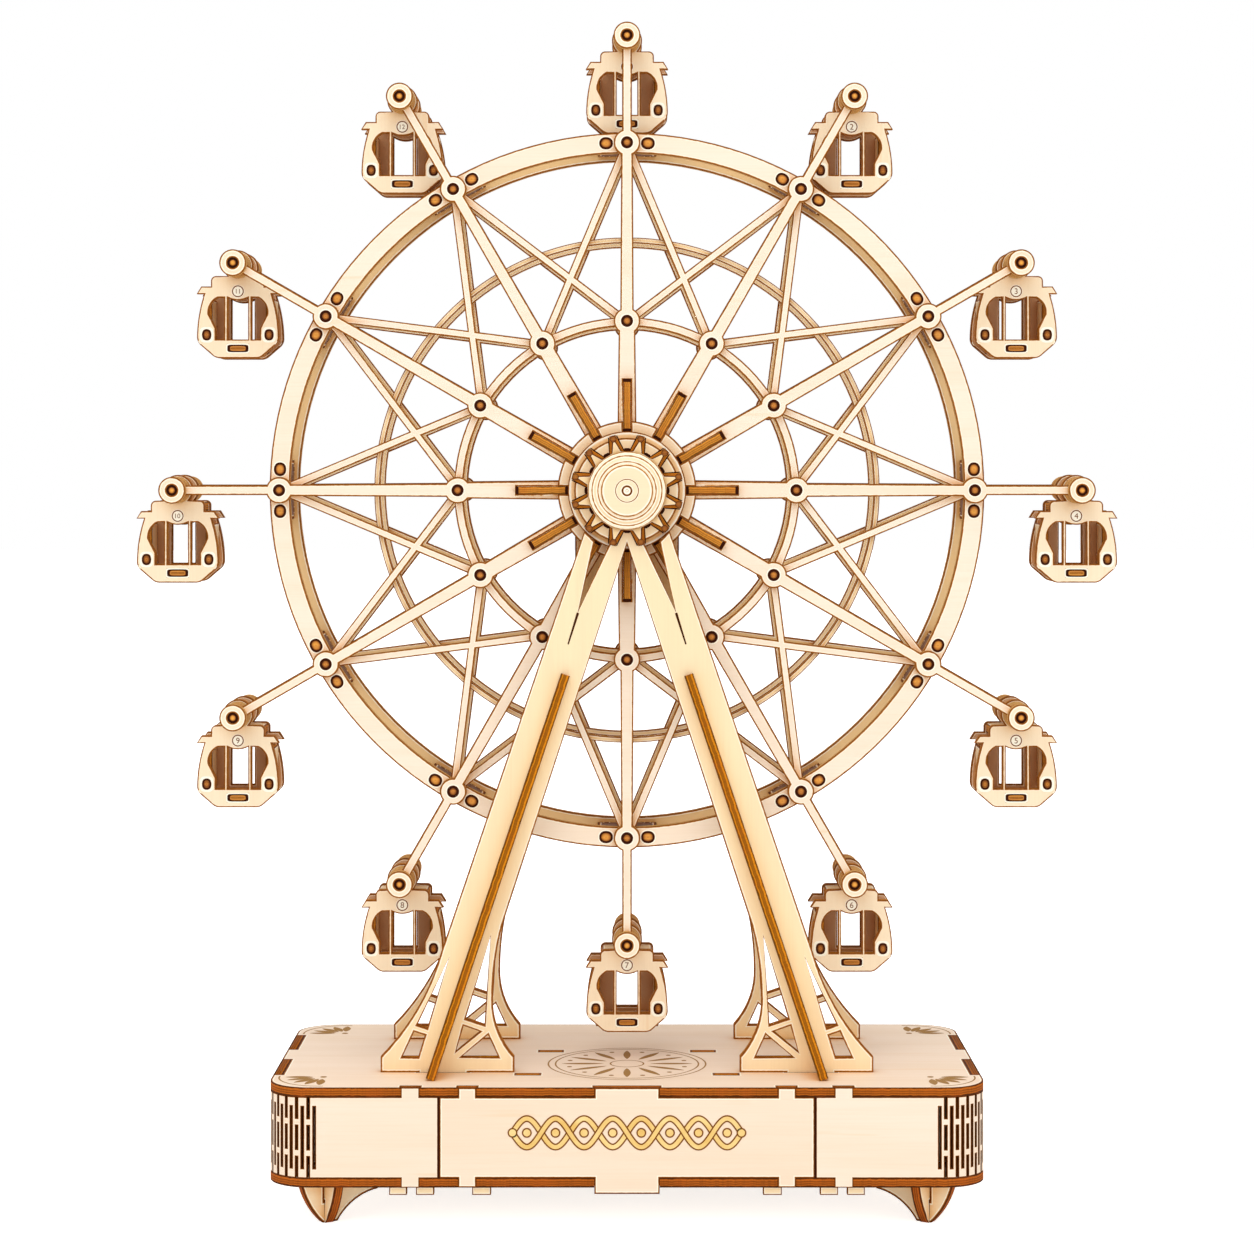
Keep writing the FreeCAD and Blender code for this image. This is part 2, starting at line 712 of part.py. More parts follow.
def buttress_slots():
    # where the tabs of the buttress ribs pass through the legs
    slots = []
    for start in buttress_tabs():
        middle = f"{start} + buttress_tab / 2"
        length, width = "(buttress_tab + slot_gap) / 2", "(ply + slot_gap) / 2"
        loop = [turned(f"({middle}) - {length}", f"-{width}", "180 deg - leg_angle"),
                turned(f"({middle}) + {length}", f"-{width}", "180 deg - leg_angle"),
                turned(f"({middle}) + {length}", width, "180 deg - leg_angle"),
                turned(f"({middle}) - {length}", width, "180 deg - leg_angle")]
        slots += [loop, mirrored(loop)]
    return slots


def buttress_tabs():
    # how far from the axle each tab starts, along the leg
    return ["buttress_top + buttress_tab_margin",
            "(buttress_top + hub_height / cos(leg_angle)) / 2 - buttress_tab / 2"]


def make_a_frames():
    forked, plain = frame_heads()
    for label, y, head in (("front_a_frame", "-frame_y", forked), ("rear_a_frame", "frame_face_y", plain)):
        bore = ("0", "0", "axle_radius + pin_clearance")
        body = upright_plate(label, y, "hub_z", [a_frame_outline(head)], [bore])
        windows = draw(new_sketch(body, "XZ_Plane", label + "_windows"), frame_windows())
        pocket(body, windows, "ply")
        for index, loop in enumerate(frame_struts()):
            for side, shape in (("right", loop), ("left", mirrored(loop))):
                sketch = new_sketch(body, "XZ_Plane", f"{label}_strut_{side}_{index}")
                pad(body, draw(sketch, [shape]), "ply")
        slots = draw(new_sketch(body, "XZ_Plane", label + "_slots"), buttress_slots())
        pocket(body, slots, "ply")
        keep(body)


def make_buttresses():
    # tapered ribs that stand on the outer face of the legs and brace them against the deck
    foot = "hub_height / cos(leg_angle) - ply / 2 * tan(leg_angle)"
    outline = [("0", "-buttress_top"), ("buttress_top_depth", "-buttress_top", "buttress_curve", LEFT),
               ("buttress_depth", f"-({foot})"), ("0", f"-({foot})")]
    for start in reversed(buttress_tabs()):
        outline += [("0", f"-({start}) - buttress_tab"), ("-ply", f"-({start}) - buttress_tab"),
                    ("-ply", f"-({start})"), ("0", f"-({start})")]
    for row, side_y, facing in (("front", "-", 180), ("rear", "", 0)):
        ribs = []
        for column, lean in (("left", 1), ("right", -1)):
            body = new_body(f"{row}_{column}_buttress")
            sketch = draw(new_sketch(body, "YZ_Plane", body.Label + "_outline"), [outline])
            feature = pad(body, sketch, "ply")
            feature.Midplane = True
            about_y = FreeCAD.Rotation(FreeCAD.Vector(0, 1, 0), lean * value("leg_angle"))
            about_z = FreeCAD.Rotation(FreeCAD.Vector(0, 0, 1), facing)
            body.Placement.Rotation = about_y.multiply(about_z)
            ribs.append(place(body, "0", f"{side_y}frame_face_y", "hub_z"))
        keep(group(f"{row}_leg_ribs", ribs))


def make_bearings():
    bore = ("0", "0", "axle_radius + pin_clearance")
    disc = ("0", "0", "bearing_radius")
    front = upright_plate("front_bearing", "-bearing_y", "hub_z", circles=[disc, bore])
    rear = upright_plate("rear_bearing", "frame_y", "hub_z", circles=[disc, bore])
    keep(group("bearing_plates", [front, rear]))
    boss = ("0", "0", "rear_boss_radius")
    keep(upright_plate("rear_boss", "star_face_y", "hub_z", circles=[boss, bore]))


def star_loop(inset):
    loop = []
    for tooth in range(SPOKES):
        valley, tip = 360 / SPOKES * tooth, 360 / SPOKES * (tooth + 0.5)
        loop.append(turned("star_valley_radius", f"star_valley_half + {inset}", valley))
        loop.append(turned(f"star_tip_radius - {inset} * 2", f"-star_tip_half + {inset} * 0.9", tip))
        loop.append(turned(f"star_tip_radius - {inset} * 2", f"star_tip_half - {inset} * 0.9", tip))
        next_valley = valley + 360 / SPOKES
        loop.append(turned("star_valley_radius", f"-star_valley_half - {inset}", next_valley))
    return loop


def make_star():
    # twelve bevelled teeth, wider at the frame than at the front
    body = new_body("front_star")
    back = draw(new_sketch(body, "XZ_Plane", "star_back"), [star_loop("0")])
    front = draw(new_sketch(body, "XZ_Plane", "star_front", "ply"), [star_loop("star_bevel")])
    loft = body.newObject("PartDesign::AdditiveLoft", "star_loft")
    loft.Profile = back
    loft.Sections = [front]
    loft.Ruled = True
    body.Tip = loft
    bore = new_sketch(body, "XZ_Plane", "star_bore")
    pocket(body, draw(bore, circles=[("0", "0", "axle_radius + pin_clearance")]), "ply")
    keep(place(body, "0", "-frame_face_y", "hub_z"))


# the wheel

def spoke_loop():
    # one spoke, straight up from the axle: two eyelets on the way and a round end at the cabin pivot
    def meets(place_name, half, side):
        return f"{place_name} {side} sqrt(eyelet_radius ^ 2 - ({half}) ^ 2)"

    root, low = "spoke_root / 2", "spoke_at_inner_eyelet / 2"
    middle, rim, tip = "spoke_past_inner_eyelet / 2", "spoke_at_rim / 2", "spoke_past_rim / 2"
    right = [
        ("0", "pivot_place + washer_radius", "washer_radius", RIGHT),
        ("washer_radius", "pivot_place", "washer_radius", RIGHT),
        (tip, f"pivot_place - sqrt(washer_radius ^ 2 - ({tip}) ^ 2)"),
        (tip, meets("rim_eyelet_place", tip, "+"), "eyelet_radius", RIGHT),
        (rim, meets("rim_eyelet_place", rim, "-")),
        (middle, meets("inner_eyelet_place", middle, "+"), "eyelet_radius", RIGHT),
        (low, meets("inner_eyelet_place", low, "-")),
        (root, "hub_ring_radius / 2"),
    ]
    return both_sides(right)


def make_spokes():
    for label, y in (("front_spokes", "-spoke_y"), ("rear_spokes", "ring_y")):
        body = upright_plate(label, y, "hub_z", circles=[("0", "0", "hub_ring_radius")])
        spoke = pad(body, draw(new_sketch(body, "XZ_Plane", label + "_spoke"), [spoke_loop()]), "ply")
        polar(body, [spoke])
        cuts = [centred_box("0", "(gusset_inner + gusset_outer) / 2", "gusset_ply + slot_gap",
                            "gusset_outer - gusset_inner + slot_gap")]
        holes = new_sketch(body, "XZ_Plane", label + "_holes")
        polar(body, [pocket(body, draw(holes, cuts, [("0", "pivot_place", "pivot_radius")]), "ply")])
        bore = new_sketch(body, "XZ_Plane", label + "_bore")
        pocket(body, draw(bore, circles=[("0", "0", "axle_radius")]), "ply")
        keep(body)


def make_lattices():
    # rim, inner ring and the crossing diagonals are one sheet behind the spokes
    step = 360 / SPOKES
    inner_place = "inner_ring_radius - inner_ring_width / 2"
    for label, y in (("front_lattice", "-lattice_y"), ("rear_lattice", "spoke_y")):
        body = upright_plate(label, y, "hub_z", circles=[
            ("0", "0", "rim_radius"), ("0", "0", "rim_radius - rim_width")])
        inner = new_sketch(body, "XZ_Plane", label + "_inner_ring")
        pad(body, draw(inner, circles=[
            ("0", "0", "inner_ring_radius"), ("0", "0", "inner_ring_radius - inner_ring_width")]), "ply")
        for name, angle in (("right", step), ("left", -step)):
            loop = bar_loop(turned("rim_eyelet_place", "0", 0), turned(inner_place, "0", angle),
                            "diagonal_width")
            sketch = new_sketch(body, "XZ_Plane", f"{label}_{name}_diagonal")
            polar(body, [pad(body, draw(sketch, [loop]), "ply")])
        slots = new_sketch(body, "XZ_Plane", label + "_slots")
        width, height = "rim_spacer_tab + slot_gap", "ply + slot_gap"
        loops = [centred_box(f"{side}rim_spacer_tab_offset", "rim_eyelet_place", width, height)
                 for side in ("-", "")]
        polar(body, [pocket(body, draw(slots, loops), "ply")])
        keep(body)


def make_middle_rings():
    circles = [("0", "0", "middle_ring_radius"), ("0", "0", "middle_ring_radius - middle_ring_width")]
    front = upright_plate("front_ring", "ply - lattice_y", "hub_z", circles=circles)
    rear = upright_plate("rear_ring", "lattice_y", "hub_z", circles=circles)
    keep(group("middle_rings", [front, rear]))


def make_rim_spacers():
    # twelve cross plates between the two rims, each with two tabs into either rim
    body = new_body("rim_spacers")
    half = [("0", "lattice_y"),
            ("rim_spacer_tab_offset - rim_spacer_tab / 2", "lattice_y"),
            ("rim_spacer_tab_offset - rim_spacer_tab / 2", "spoke_y"),
            ("rim_spacer_tab_offset + rim_spacer_tab / 2", "spoke_y"),
            ("rim_spacer_tab_offset + rim_spacer_tab / 2", "lattice_y"),
            ("rim_spacer_length / 2", "lattice_y"), ("rim_spacer_length / 2", "-lattice_y"),
            ("rim_spacer_tab_offset + rim_spacer_tab / 2", "-lattice_y"),
            ("rim_spacer_tab_offset + rim_spacer_tab / 2", "-spoke_y"),
            ("rim_spacer_tab_offset - rim_spacer_tab / 2", "-spoke_y"),
            ("rim_spacer_tab_offset - rim_spacer_tab / 2", "-lattice_y"),
            ("0", "-lattice_y")]
    sketch = new_sketch(body, "XY_Plane", "rim_spacer_outline", "rim_eyelet_place - ply / 2")
    polar(body, [pad(body, draw(sketch, [both_sides(half)]), "ply")])
    keep(place(body, "0", "0", "hub_z"))


def make_gussets():
    # twelve radial plates that lock both spoke plates and both hub rings into one drum
    body = new_body("hub_gussets")
    face, waist = "ring_y + ply", "gusset_outer - gusset_waist"
    loop = [(f"-({face})", "gusset_inner"), (face, "gusset_inner"), (face, "gusset_outer"),
            ("spoke_y", "gusset_outer"), ("spoke_y - gusset_waist", waist),
            ("-spoke_y + gusset_waist", waist), ("-spoke_y", "gusset_outer"),
            (f"-({face})", "gusset_outer")]
    feature = pad(body, draw(new_sketch(body, "YZ_Plane", "gusset_outline"), [loop]), "gusset_ply")
    feature.Midplane = True
    polar(body, [feature])
    keep(place(body, "0", "0", "hub_z"))


def make_hub():
    for label, y in (("front_hub_ring", "-ring_y"), ("rear_hub_ring", "ring_y + ply")):
        body = upright_plate(label, y, "hub_z", circles=[
            ("0", "0", "hub_ring_radius"), ("0", "0", "axle_radius")])
        notch = box_loop("-(gusset_ply + slot_gap) / 2", "gusset_inner - slot_gap / 2",
                         "(gusset_ply + slot_gap) / 2", "hub_ring_radius + slot_gap")
        cut = pocket(body, draw(new_sketch(body, "XZ_Plane", label + "_notch"), [notch]), "ply")
        polar(body, [cut])
        keep(body)
    core = [("0", "0", "hub_core_radius"), ("0", "0", "axle_radius")]
    keep(upright_plate("hub_core", "spoke_y", "hub_z", circles=core, thickness="spoke_y * 2"))
    length = "cap_y + cap_rim + cap_rise + arm_face_y + crank_cap_thickness"
    keep(upright_plate("axle", "arm_face_y + crank_cap_thickness", "hub_z",
                       circles=[("0", "0", "axle_radius")], thickness=length))


def make_front_cap():
    # a turned cap that closes the front end of the axle
    body = new_body("front_cap")
    rise = "cap_rim + cap_rise"
    loop = [("axle_radius", "0"), ("cap_radius", "0"), ("cap_radius", "-cap_rim"),
            ("cap_top_radius", f"-({rise})"), ("axle_radius", f"-({rise})")]
    revolve(body, draw(new_sketch(body, "XY_Plane", "cap_profile"), [loop]))
    keep(place(body, "0", "-cap_y", "hub_z"))


def make_pivots():
    rods = new_body("pivot_rods")
    rod = draw(new_sketch(rods, "XZ_Plane", "rod_section"), circles=[("0", "pivot_place", "pivot_radius")])
    feature = pad(rods, rod, "(ring_y + ply) * 2")
    feature.Midplane = True
    polar(rods, [feature])
    keep(place(rods, "0", "0", "hub_z"))
    washers = []
    gap = "cabin_depth / 2 + running_gap"
    for name, y, thickness in (("front_outer", "-ring_y", "ply"), ("rear_outer", "ring_y + ply", "ply"),
                               ("front_inner", f"-({gap})", f"spoke_y - ({gap})"),
                               ("rear_inner", "spoke_y", f"spoke_y - ({gap})")):
        body = upright_plate(f"{name}_washers", y, "hub_z", thickness=thickness, circles=[
            ("0", "pivot_place", "washer_radius"), ("0", "pivot_place", "pivot_radius")])
        polar(body, [body.Tip])
        washers.append(body)
    keep(group("pivot_washers", washers[:2]))
    keep(group("pivot_spacers", washers[2:]))


# the crank

def make_crank():
    # the arm is keyed to the rear end of the axle, and its knob turns on a pin
    arm = new_body("crank_arm")
    sketch = new_sketch(arm, "XZ_Plane", "arm_outline")
    half = [("0", "crank_half", "crank_half", RIGHT), ("crank_half", "0"),
            ("crank_half", "-crank_length", "crank_half", RIGHT), ("0", "-crank_length - crank_half")]
    draw(sketch, [both_sides(half)],
         [("0", "0", "axle_radius"), ("0", "-crank_length", "pivot_radius")])
    pad(arm, sketch, "ply")
    arm.Placement.Rotation = FreeCAD.Rotation(FreeCAD.Vector(0, 1, 0), -value("crank_angle"))
    keep(place(arm, "0", "arm_face_y", "hub_z"))

    pin = new_body("crank_pin")
    profile = [("0", "cap_y"), ("pivot_radius", "cap_y"),
               ("pivot_radius", "pin_end_y - pin_head_thickness"),
               ("pin_head_radius", "pin_end_y - pin_head_thickness"),
               ("pin_head_radius", "pin_end_y"), ("0", "pin_end_y")]
    revolve(pin, draw(new_sketch(pin, "XY_Plane", "pin_profile"), [profile]))
    keep(place(pin, "crank_x", "0", "crank_z"))

    knob = new_body("crank_knob")
    bore, end = "pivot_radius + pin_clearance", "knob_y + knob_length"
    profile = [(bore, "knob_y"), ("knob_neck_radius", "knob_y"),
               ("knob_radius", "knob_y + knob_length * 0.55"), ("knob_radius", f"{end} - knob_end_round"),
               ("knob_radius - knob_end_round", end), (bore, end)]
    revolve(knob, draw(new_sketch(knob, "XY_Plane", "knob_profile"), [profile]))
    keep(place(knob, "crank_x", "0", "crank_z"))

    cap = [("0", "0", "crank_cap_radius"), ("0", "0", "axle_radius")]
    keep(upright_plate("crank_cap", "arm_face_y + crank_cap_thickness", "hub_z", circles=cap,
                       thickness="crank_cap_thickness"))


# the cabins

def cabin_outline():
    across, down = "(belly_half - cabin_bottom_half)", "(cabin_bottom_drop - chamfer_drop)"
    ease = f"chamfer_ease / sqrt({across} ^ 2 + {down} ^ 2)"
    return both_sides([
        ("0", "ear_radius", "ear_radius", RIGHT),
        ("ear_radius", "0", "ear_radius", RIGHT),
        ("sqrt(ear_radius ^ 2 - roof_drop ^ 2)", "-roof_drop"),
        ("roof_half - roof_round", "-roof_drop", "roof_round", RIGHT),
        ("roof_half", "-roof_drop - roof_round"),
        ("roof_half", "-roof_step"),
        ("eave_half - eave_slope", "-roof_step"),
        ("eave_half", "-eave_drop"),
        ("cabin_top_half", "-eave_drop", "belly_curve", RIGHT),
        ("belly_half", "-chamfer_drop + chamfer_ease", "chamfer_curve", RIGHT),
        (f"belly_half - {ease} * {across}", f"-chamfer_drop - {ease} * {down}"),
        (f"cabin_bottom_half + {ease} * {across}", f"-cabin_bottom_drop + {ease} * {down}",
         "chamfer_curve", RIGHT),
        ("cabin_bottom_half - chamfer_ease", "-cabin_bottom_drop"),
    ])


def door_window(half):
    return [(half, "-window_top_drop"), (half, "-window_bottom_drop"),
            (f"-{half}", "-window_bottom_drop"), (f"-{half}", "-window_top_drop", "door_arch_curve", LEFT)]


def side_window():
    edge = "door_half + mullion"
    return [(edge, "-window_top_drop"),
            ("side_window_shoulder", "-window_top_drop", "side_window_curve", RIGHT),
            ("side_window_half", "-side_window_wide_drop"),
            ("side_window_foot", "-side_window_foot_drop"),
            ("side_window_foot", "-window_bottom_drop"), (edge, "-window_bottom_drop")]


def cabin_slots():
    wall = ("cabin_wall_x", "-cabin_wall_tab_drop", "ply + slot_gap", "cabin_wall_tab + slot_gap")
    floor = ("0", "-floor_drop", "floor_tab + slot_gap", "ply + slot_gap")
    right = centred_box(*wall)
    return [right, mirrored(right), centred_box(*floor)]


def cabin_cross_plate(name, half, drop, tab_half, y_half):
    # a level plate between the two faces, with a tab into each if tab_half isn't zero
    outline = [("0", y_half), (half, y_half), (half, f"-({y_half})"), ("0", f"-({y_half})")]
    if tab_half != "0":
        outline[1:1] = [(tab_half, "cabin_depth / 2"), (tab_half, y_half)]
        outline[0] = ("0", "cabin_depth / 2")
        outline[-1:] = [(tab_half, f"-({y_half})"), (tab_half, "-cabin_depth / 2"), ("0", "-cabin_depth / 2")]
    body = new_body(name)
    sketch = new_sketch(body, "XY_Plane", name + "_outline", f"-({drop}) - ply / 2")
    pad(body, draw(sketch, [both_sides(outline)]), "ply")
    return body


def make_cabin_pieces():
    bore = ("0", "0", "pivot_radius + pin_clearance")
    inside = "cabin_depth / 2 - ply"
    front = upright_plate("cabin_front", f"-({inside})", "0", [
        cabin_outline(), door_window("door_half"), side_window(), mirrored(side_window())]
        + cabin_slots(), [bore])
    rear = upright_plate("cabin_rear", "cabin_depth / 2", "0", [
        cabin_outline(), door_window("rear_door_half")] + cabin_slots(), [bore])

    walls = []
    for side in ("left", "right"):
        wall = new_body(f"cabin_{side}_wall")
        top, bottom = "-cabin_wall_top_drop", "-cabin_wall_bottom_drop"
        tab_top = "-cabin_wall_tab_drop + cabin_wall_tab / 2"
        tab_bottom = "-cabin_wall_tab_drop - cabin_wall_tab / 2"
        loop = [(inside, top), (f"-({inside})", top), (f"-({inside})", tab_top),
                ("-cabin_depth / 2", tab_top), ("-cabin_depth / 2", tab_bottom),
                (f"-({inside})", tab_bottom), (f"-({inside})", bottom), (inside, bottom),
                (inside, tab_bottom), ("cabin_depth / 2", tab_bottom), ("cabin_depth / 2", tab_top),
                (inside, tab_top)]
        offset = "cabin_wall_x - ply / 2" if side == "right" else "-cabin_wall_x - ply / 2"
        sketch = new_sketch(wall, "YZ_Plane", wall.Label + "_outline", offset)
        pad(wall, draw(sketch, [loop]), "ply")
        walls.append(wall)

    floor = cabin_cross_plate("cabin_floor", "floor_half", "floor_drop", "floor_tab / 2", inside)
    roof = cabin_cross_plate("cabin_roof", "roof_plate_half", "roof_plate_drop", "0", inside)
    return [front, rear], walls + [floor, roof]


def make_cabins():
    # cabin 1 hangs at the top of the wheel and the numbers run clockwise, all of them upright
    faces, shell = make_cabin_pieces()
    for number in range(1, SPOKES + 1):
        angle = 360 / SPOKES * (number - 1)
        x, z = turned("pivot_place", "0", angle)
        for name, parts in (("faces", faces), ("shell", shell)):
            cabin = group(f"gondola_{number:02d}_{name}", parts)
            keep(place(cabin, x, "0", f"hub_z + {z}"))


# build, check and write

make_plates()
make_panels()
make_inner_ribs()
make_side_wrap("left_side_wrap", -1)
make_side_wrap("right_side_wrap", 1)
make_feet()
make_a_frames()
make_buttresses()
make_bearings()
make_star()
make_spokes()
make_lattices()
make_middle_rings()
make_rim_spacers()
make_gussets()
make_hub()
make_front_cap()
make_pivots()
make_crank()
make_cabins()
doc.recompute()

for item in doc.Objects:
    if "Invalid" in item.State or "Error" in item.State:
        raise RuntimeError(f"{item.Label} failed to build")
for part in nodes:
    if part.Shape.isNull() or not part.Shape.isValid() or not part.Shape.Solids:
        raise RuntimeError(f"{part.Label} has no valid solid")

os.makedirs("parts", exist_ok=True)
for part in nodes:
    part.Shape.exportStep(os.path.join("parts", part.Label + ".step"))
    print(f"{part.Label}: {len(part.Shape.Solids)} solids, {part.Shape.Volume:.0f} mm3")
print(len(nodes), "nodes")
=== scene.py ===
import json
import math
import random

import bmesh
import bpy
import numpy as np
from mathutils import Matrix, Vector


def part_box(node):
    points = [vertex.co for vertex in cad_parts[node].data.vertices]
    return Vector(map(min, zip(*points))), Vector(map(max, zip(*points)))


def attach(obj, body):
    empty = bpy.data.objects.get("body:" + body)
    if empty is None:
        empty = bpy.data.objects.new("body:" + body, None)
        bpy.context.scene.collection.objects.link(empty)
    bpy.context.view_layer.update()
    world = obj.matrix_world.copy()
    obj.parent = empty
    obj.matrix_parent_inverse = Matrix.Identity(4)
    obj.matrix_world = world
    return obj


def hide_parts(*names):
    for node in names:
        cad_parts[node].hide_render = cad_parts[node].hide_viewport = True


# Hand-cranked ferris wheel toy of laser-cut basswood plywood.
# Metres, +Z up, the front faces -Y. Lengths written in millimetres go through mm.

mm = 0.001
square = ((-1, -1), (1, -1), (1, 1), (-1, 1))
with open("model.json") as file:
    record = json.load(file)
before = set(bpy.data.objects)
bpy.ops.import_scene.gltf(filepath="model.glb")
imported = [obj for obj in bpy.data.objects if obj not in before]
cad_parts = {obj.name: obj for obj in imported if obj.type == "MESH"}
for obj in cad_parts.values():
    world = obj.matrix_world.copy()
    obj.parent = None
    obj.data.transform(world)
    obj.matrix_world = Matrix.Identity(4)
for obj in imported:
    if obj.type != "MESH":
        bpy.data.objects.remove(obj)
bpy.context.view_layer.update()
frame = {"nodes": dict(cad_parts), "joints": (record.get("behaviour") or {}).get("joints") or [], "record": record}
nodes = frame["nodes"]
bodyOf = {name: body for body, names in frame["record"]["behaviour"]["bodies"].items() for name in names}
jointPlace = {joint["name"]: Vector(joint["pos_m"]) for joint in frame["joints"]}
hub = jointPlace["wheel_spin"]
dice = random.Random(12)
print("frame loaded,", len(nodes), "nodes")


# Stage: camera, floor, lamps.

stage = {
    "cameraPlace": (0.0, -0.845, 0.2052),
    "lens": 86.2,
    "shiftY": -0.133,
    "floorSize": 12.0,
    "floorGlow": 0.72,            # what the camera sees on top of the lit floor, so the paper is white
    "skyLight": 0.72,
    "lampAim": (0.0, 0.0, 0.17),
    "lamps": {                    # place, width of the disc and power
        "keyLamp": ((-0.9, -2.2, 2.0), 2.4, 16.0),
        "fillLamp": ((1.1, -2.1, 0.6), 2.2, 9.0),
        "topLamp": ((-0.1, -0.35, 1.7), 1.5, 9.5),
    },
}


def linear(code):
    # sRGB hex to the linear values that the shaders take
    parts = [int(code[i:i + 2], 16) / 255 for i in (1, 3, 5)]
    return (*[c / 12.92 if c <= 0.04045 else ((c + 0.055) / 1.055) ** 2.4 for c in parts], 1.0)


def addNode(tree, kind, inputs=(), output=0, stops=(), **settings):
    # a node with its settings and links, for one of its outputs; inputs go by name or in the node's own
    # order, and each is a value, a hex colour or another node's output; stops are those of a colour ramp
    node = tree.nodes.new("ShaderNode" + kind)
    for name, value in settings.items():
        setattr(node, name, value)
    for name, value in inputs.items() if isinstance(inputs, dict) else enumerate(inputs):
        if isinstance(value, bpy.types.NodeSocket):
            tree.links.new(value, node.inputs[name])
        else:
            node.inputs[name].default_value = linear(value) if isinstance(value, str) else value
    while stops and len(node.color_ramp.elements) < len(stops):
        node.color_ramp.elements.new(0.5)
    for number, (place, colour) in enumerate(stops):
        element = node.color_ramp.elements[number]
        element.position = place
        element.color = linear(colour) if isinstance(colour, str) else (colour, colour, colour, 1.0)
    return node.outputs[output] if node.outputs else None


def newMaterial(name, attributes=()):
    # a material, its empty node tree and the attributes of the mesh that it reads
    material = bpy.data.materials.new(name)
    material.use_nodes = True
    tree = material.node_tree
    tree.nodes.clear()
    read = {key: addNode(tree, "Attribute", output="Vector" if key == "sheetPlace" else "Fac",
                         attribute_name=key) for key in attributes}
    return material, tree, read


def addToScene(name, data, place=(0, 0, 0)):
    thing = bpy.data.objects.new(name, data)
    thing.location = place
    bpy.context.scene.collection.objects.link(thing)
    return thing


def seenDirectly(tree):
    # 1 for what the camera sees, straight or in a reflection, 0 for the light that it gives
    path = addNode(tree, "LightPath").node.outputs
    camera = addNode(tree, "Math", [path["Is Camera Ray"], path["Is Glossy Ray"]], operation="MAXIMUM")
    return addNode(tree, "Math", [camera, path["Is Transmission Ray"]], operation="MAXIMUM")


def makeSky():
    world = bpy.data.worlds.new("whiteRoom")
    world.use_nodes = True
    tree = world.node_tree
    tree.nodes.clear()
    strength = addNode(tree, "MapRange", {"Value": seenDirectly(tree), "To Min": stage["skyLight"]})
    sky = addNode(tree, "Background", {"Color": "#ffffff", "Strength": strength})
    addNode(tree, "OutputWorld", {"Surface": sky})
    bpy.context.scene.world = world


def makeFloor():
    half = stage["floorSize"] / 2
    mesh = bpy.data.meshes.new("floor")
    mesh.from_pydata([(x * half, y * half, 0) for x, y in square], [], [(0, 1, 2, 3)])
    paper, tree = newMaterial("whitePaper")[:2]
    lit = addNode(tree, "BsdfPrincipled", {"Base Color": "#f4f3f0", "Roughness": 0.9})
    glow = addNode(tree, "Math", [seenDirectly(tree), stage["floorGlow"]], operation="MULTIPLY")
    light = addNode(tree, "Emission", {"Color": "#ffffff", "Strength": glow})
    addNode(tree, "OutputMaterial", {"Surface": addNode(tree, "AddShader", [lit, light])})
    mesh.materials.append(paper)
    addToScene("floor", mesh)


def makeCameraAndLamps():
    camera = bpy.data.cameras.new("camera")
    camera.lens = stage["lens"]
    camera.sensor_width = 36.0
    camera.shift_y = stage["shiftY"]
    camera.clip_end = 50.0
    viewer = addToScene("camera", camera, stage["cameraPlace"])
    viewer.rotation_euler = (math.radians(90), 0, 0)
    bpy.context.scene.camera = viewer
    for name, (place, size, power) in stage["lamps"].items():
        lamp = bpy.data.lights.new(name, "AREA")
        lamp.shape = "DISK"
        lamp.size = size
        lamp.energy = power
        aim = Vector(stage["lampAim"]) - Vector(place)
        addToScene(name, lamp, place).rotation_euler = aim.to_track_quat("-Z", "Y").to_euler()


bpy.context.scene.view_settings.view_transform = "Standard"
makeSky()
makeFloor()
makeCameraAndLamps()
print("stage set")


# Materials: what each one is and how it was made, then its nodes.

# Basswood veneer, sanded: nearly white, close grain without figure, a silky matt surface.
# warmth is an attribute of each sheet: 0 pinkish, 0.5 cream, 1 yellow, 1.5 golden.
# One attribute darkens the veneer towards the shaded brown up to 1, the painted shade of the cabins' inner faces
# and the rim spacers, and on towards char from 1 to 2; another takes the painted corner shade out where it is 1.
basswood = {
    "warmths": ("#fbe5d1", "#fcead5", "#fde6b9", "#f0c47e"),
    "fibre": "#e6c69d",          # darker lines of the grain
    "streak": "#eec48c",         # resin streaks, few and faint
    "shadeAndStain": "#bb865a",          # painted shade: the shaded brown of the cabins' inner rear faces and the rim spacers
    "corner": "#efbf62",         # painted shade: a golden tint multiplied in where sheets meet, found by occlusion
    "cornerShadeReach": 5.0,          # mm
    "cornerShadeAmount": 0.85,
    "fibreSize": (22.0, 0.55, 4.0),      # mm along the grain, across it and through the sheet
    "bandSize": (140.0, 9.0, 30.0),
    "streakSize": (60.0, 3.2, 30.0),
    "fibreAmount": 0.14,
    "bandAmount": 0.24,
    "streakAmount": 0.45,
    "toneAmount": 0.22,
    "roughness": 0.60,
    "bump": 0.02,                # mm
}

# The line that the laser leaves on the face beside each cut: charred at the cut, then tan; a pale
# band lies beside it. scorch runs from 1 at the cut to 0.5 where the band starts and 0 after it.
scorchLine = {"char": "#4c1e02", "brown": "#9c5c22", "tan": "#dca252", "pale": "#fff9e6",
              "wobble": 1.4, "wobbleAmount": 0.035}

# Laser-cut edge of three-ply: caramelised wood, layered, with fine stripes across from the pulses.
# burn is an attribute of each sheet: 0 golden, 0.5 amber, 1 dark brown. coreBurn chars its middle layer.
cutEdge = {
    "burns": ("#edbf76", "#da8412", "#b8561c"),
    "char": "#3a1704",
    "plyThickness": 2.5,         # mm
    "rim": 0.14,                 # grey levels that the wood is multiplied by: at the two borders,
    "glue": 0.45,                # at the two glue lines
    "core": 0.84,                # and in the middle layer
    "stripeWidth": 0.35,         # mm between pulses, drawn as coarse as it shows
    "stripeAmount": 0.24,
    "patchSize": 6.0,            # mm
    "patchAmount": 0.35,
    "roughness": 0.85,
    "gloss": 0.12,
    "bump": 0.03,                # mm
}
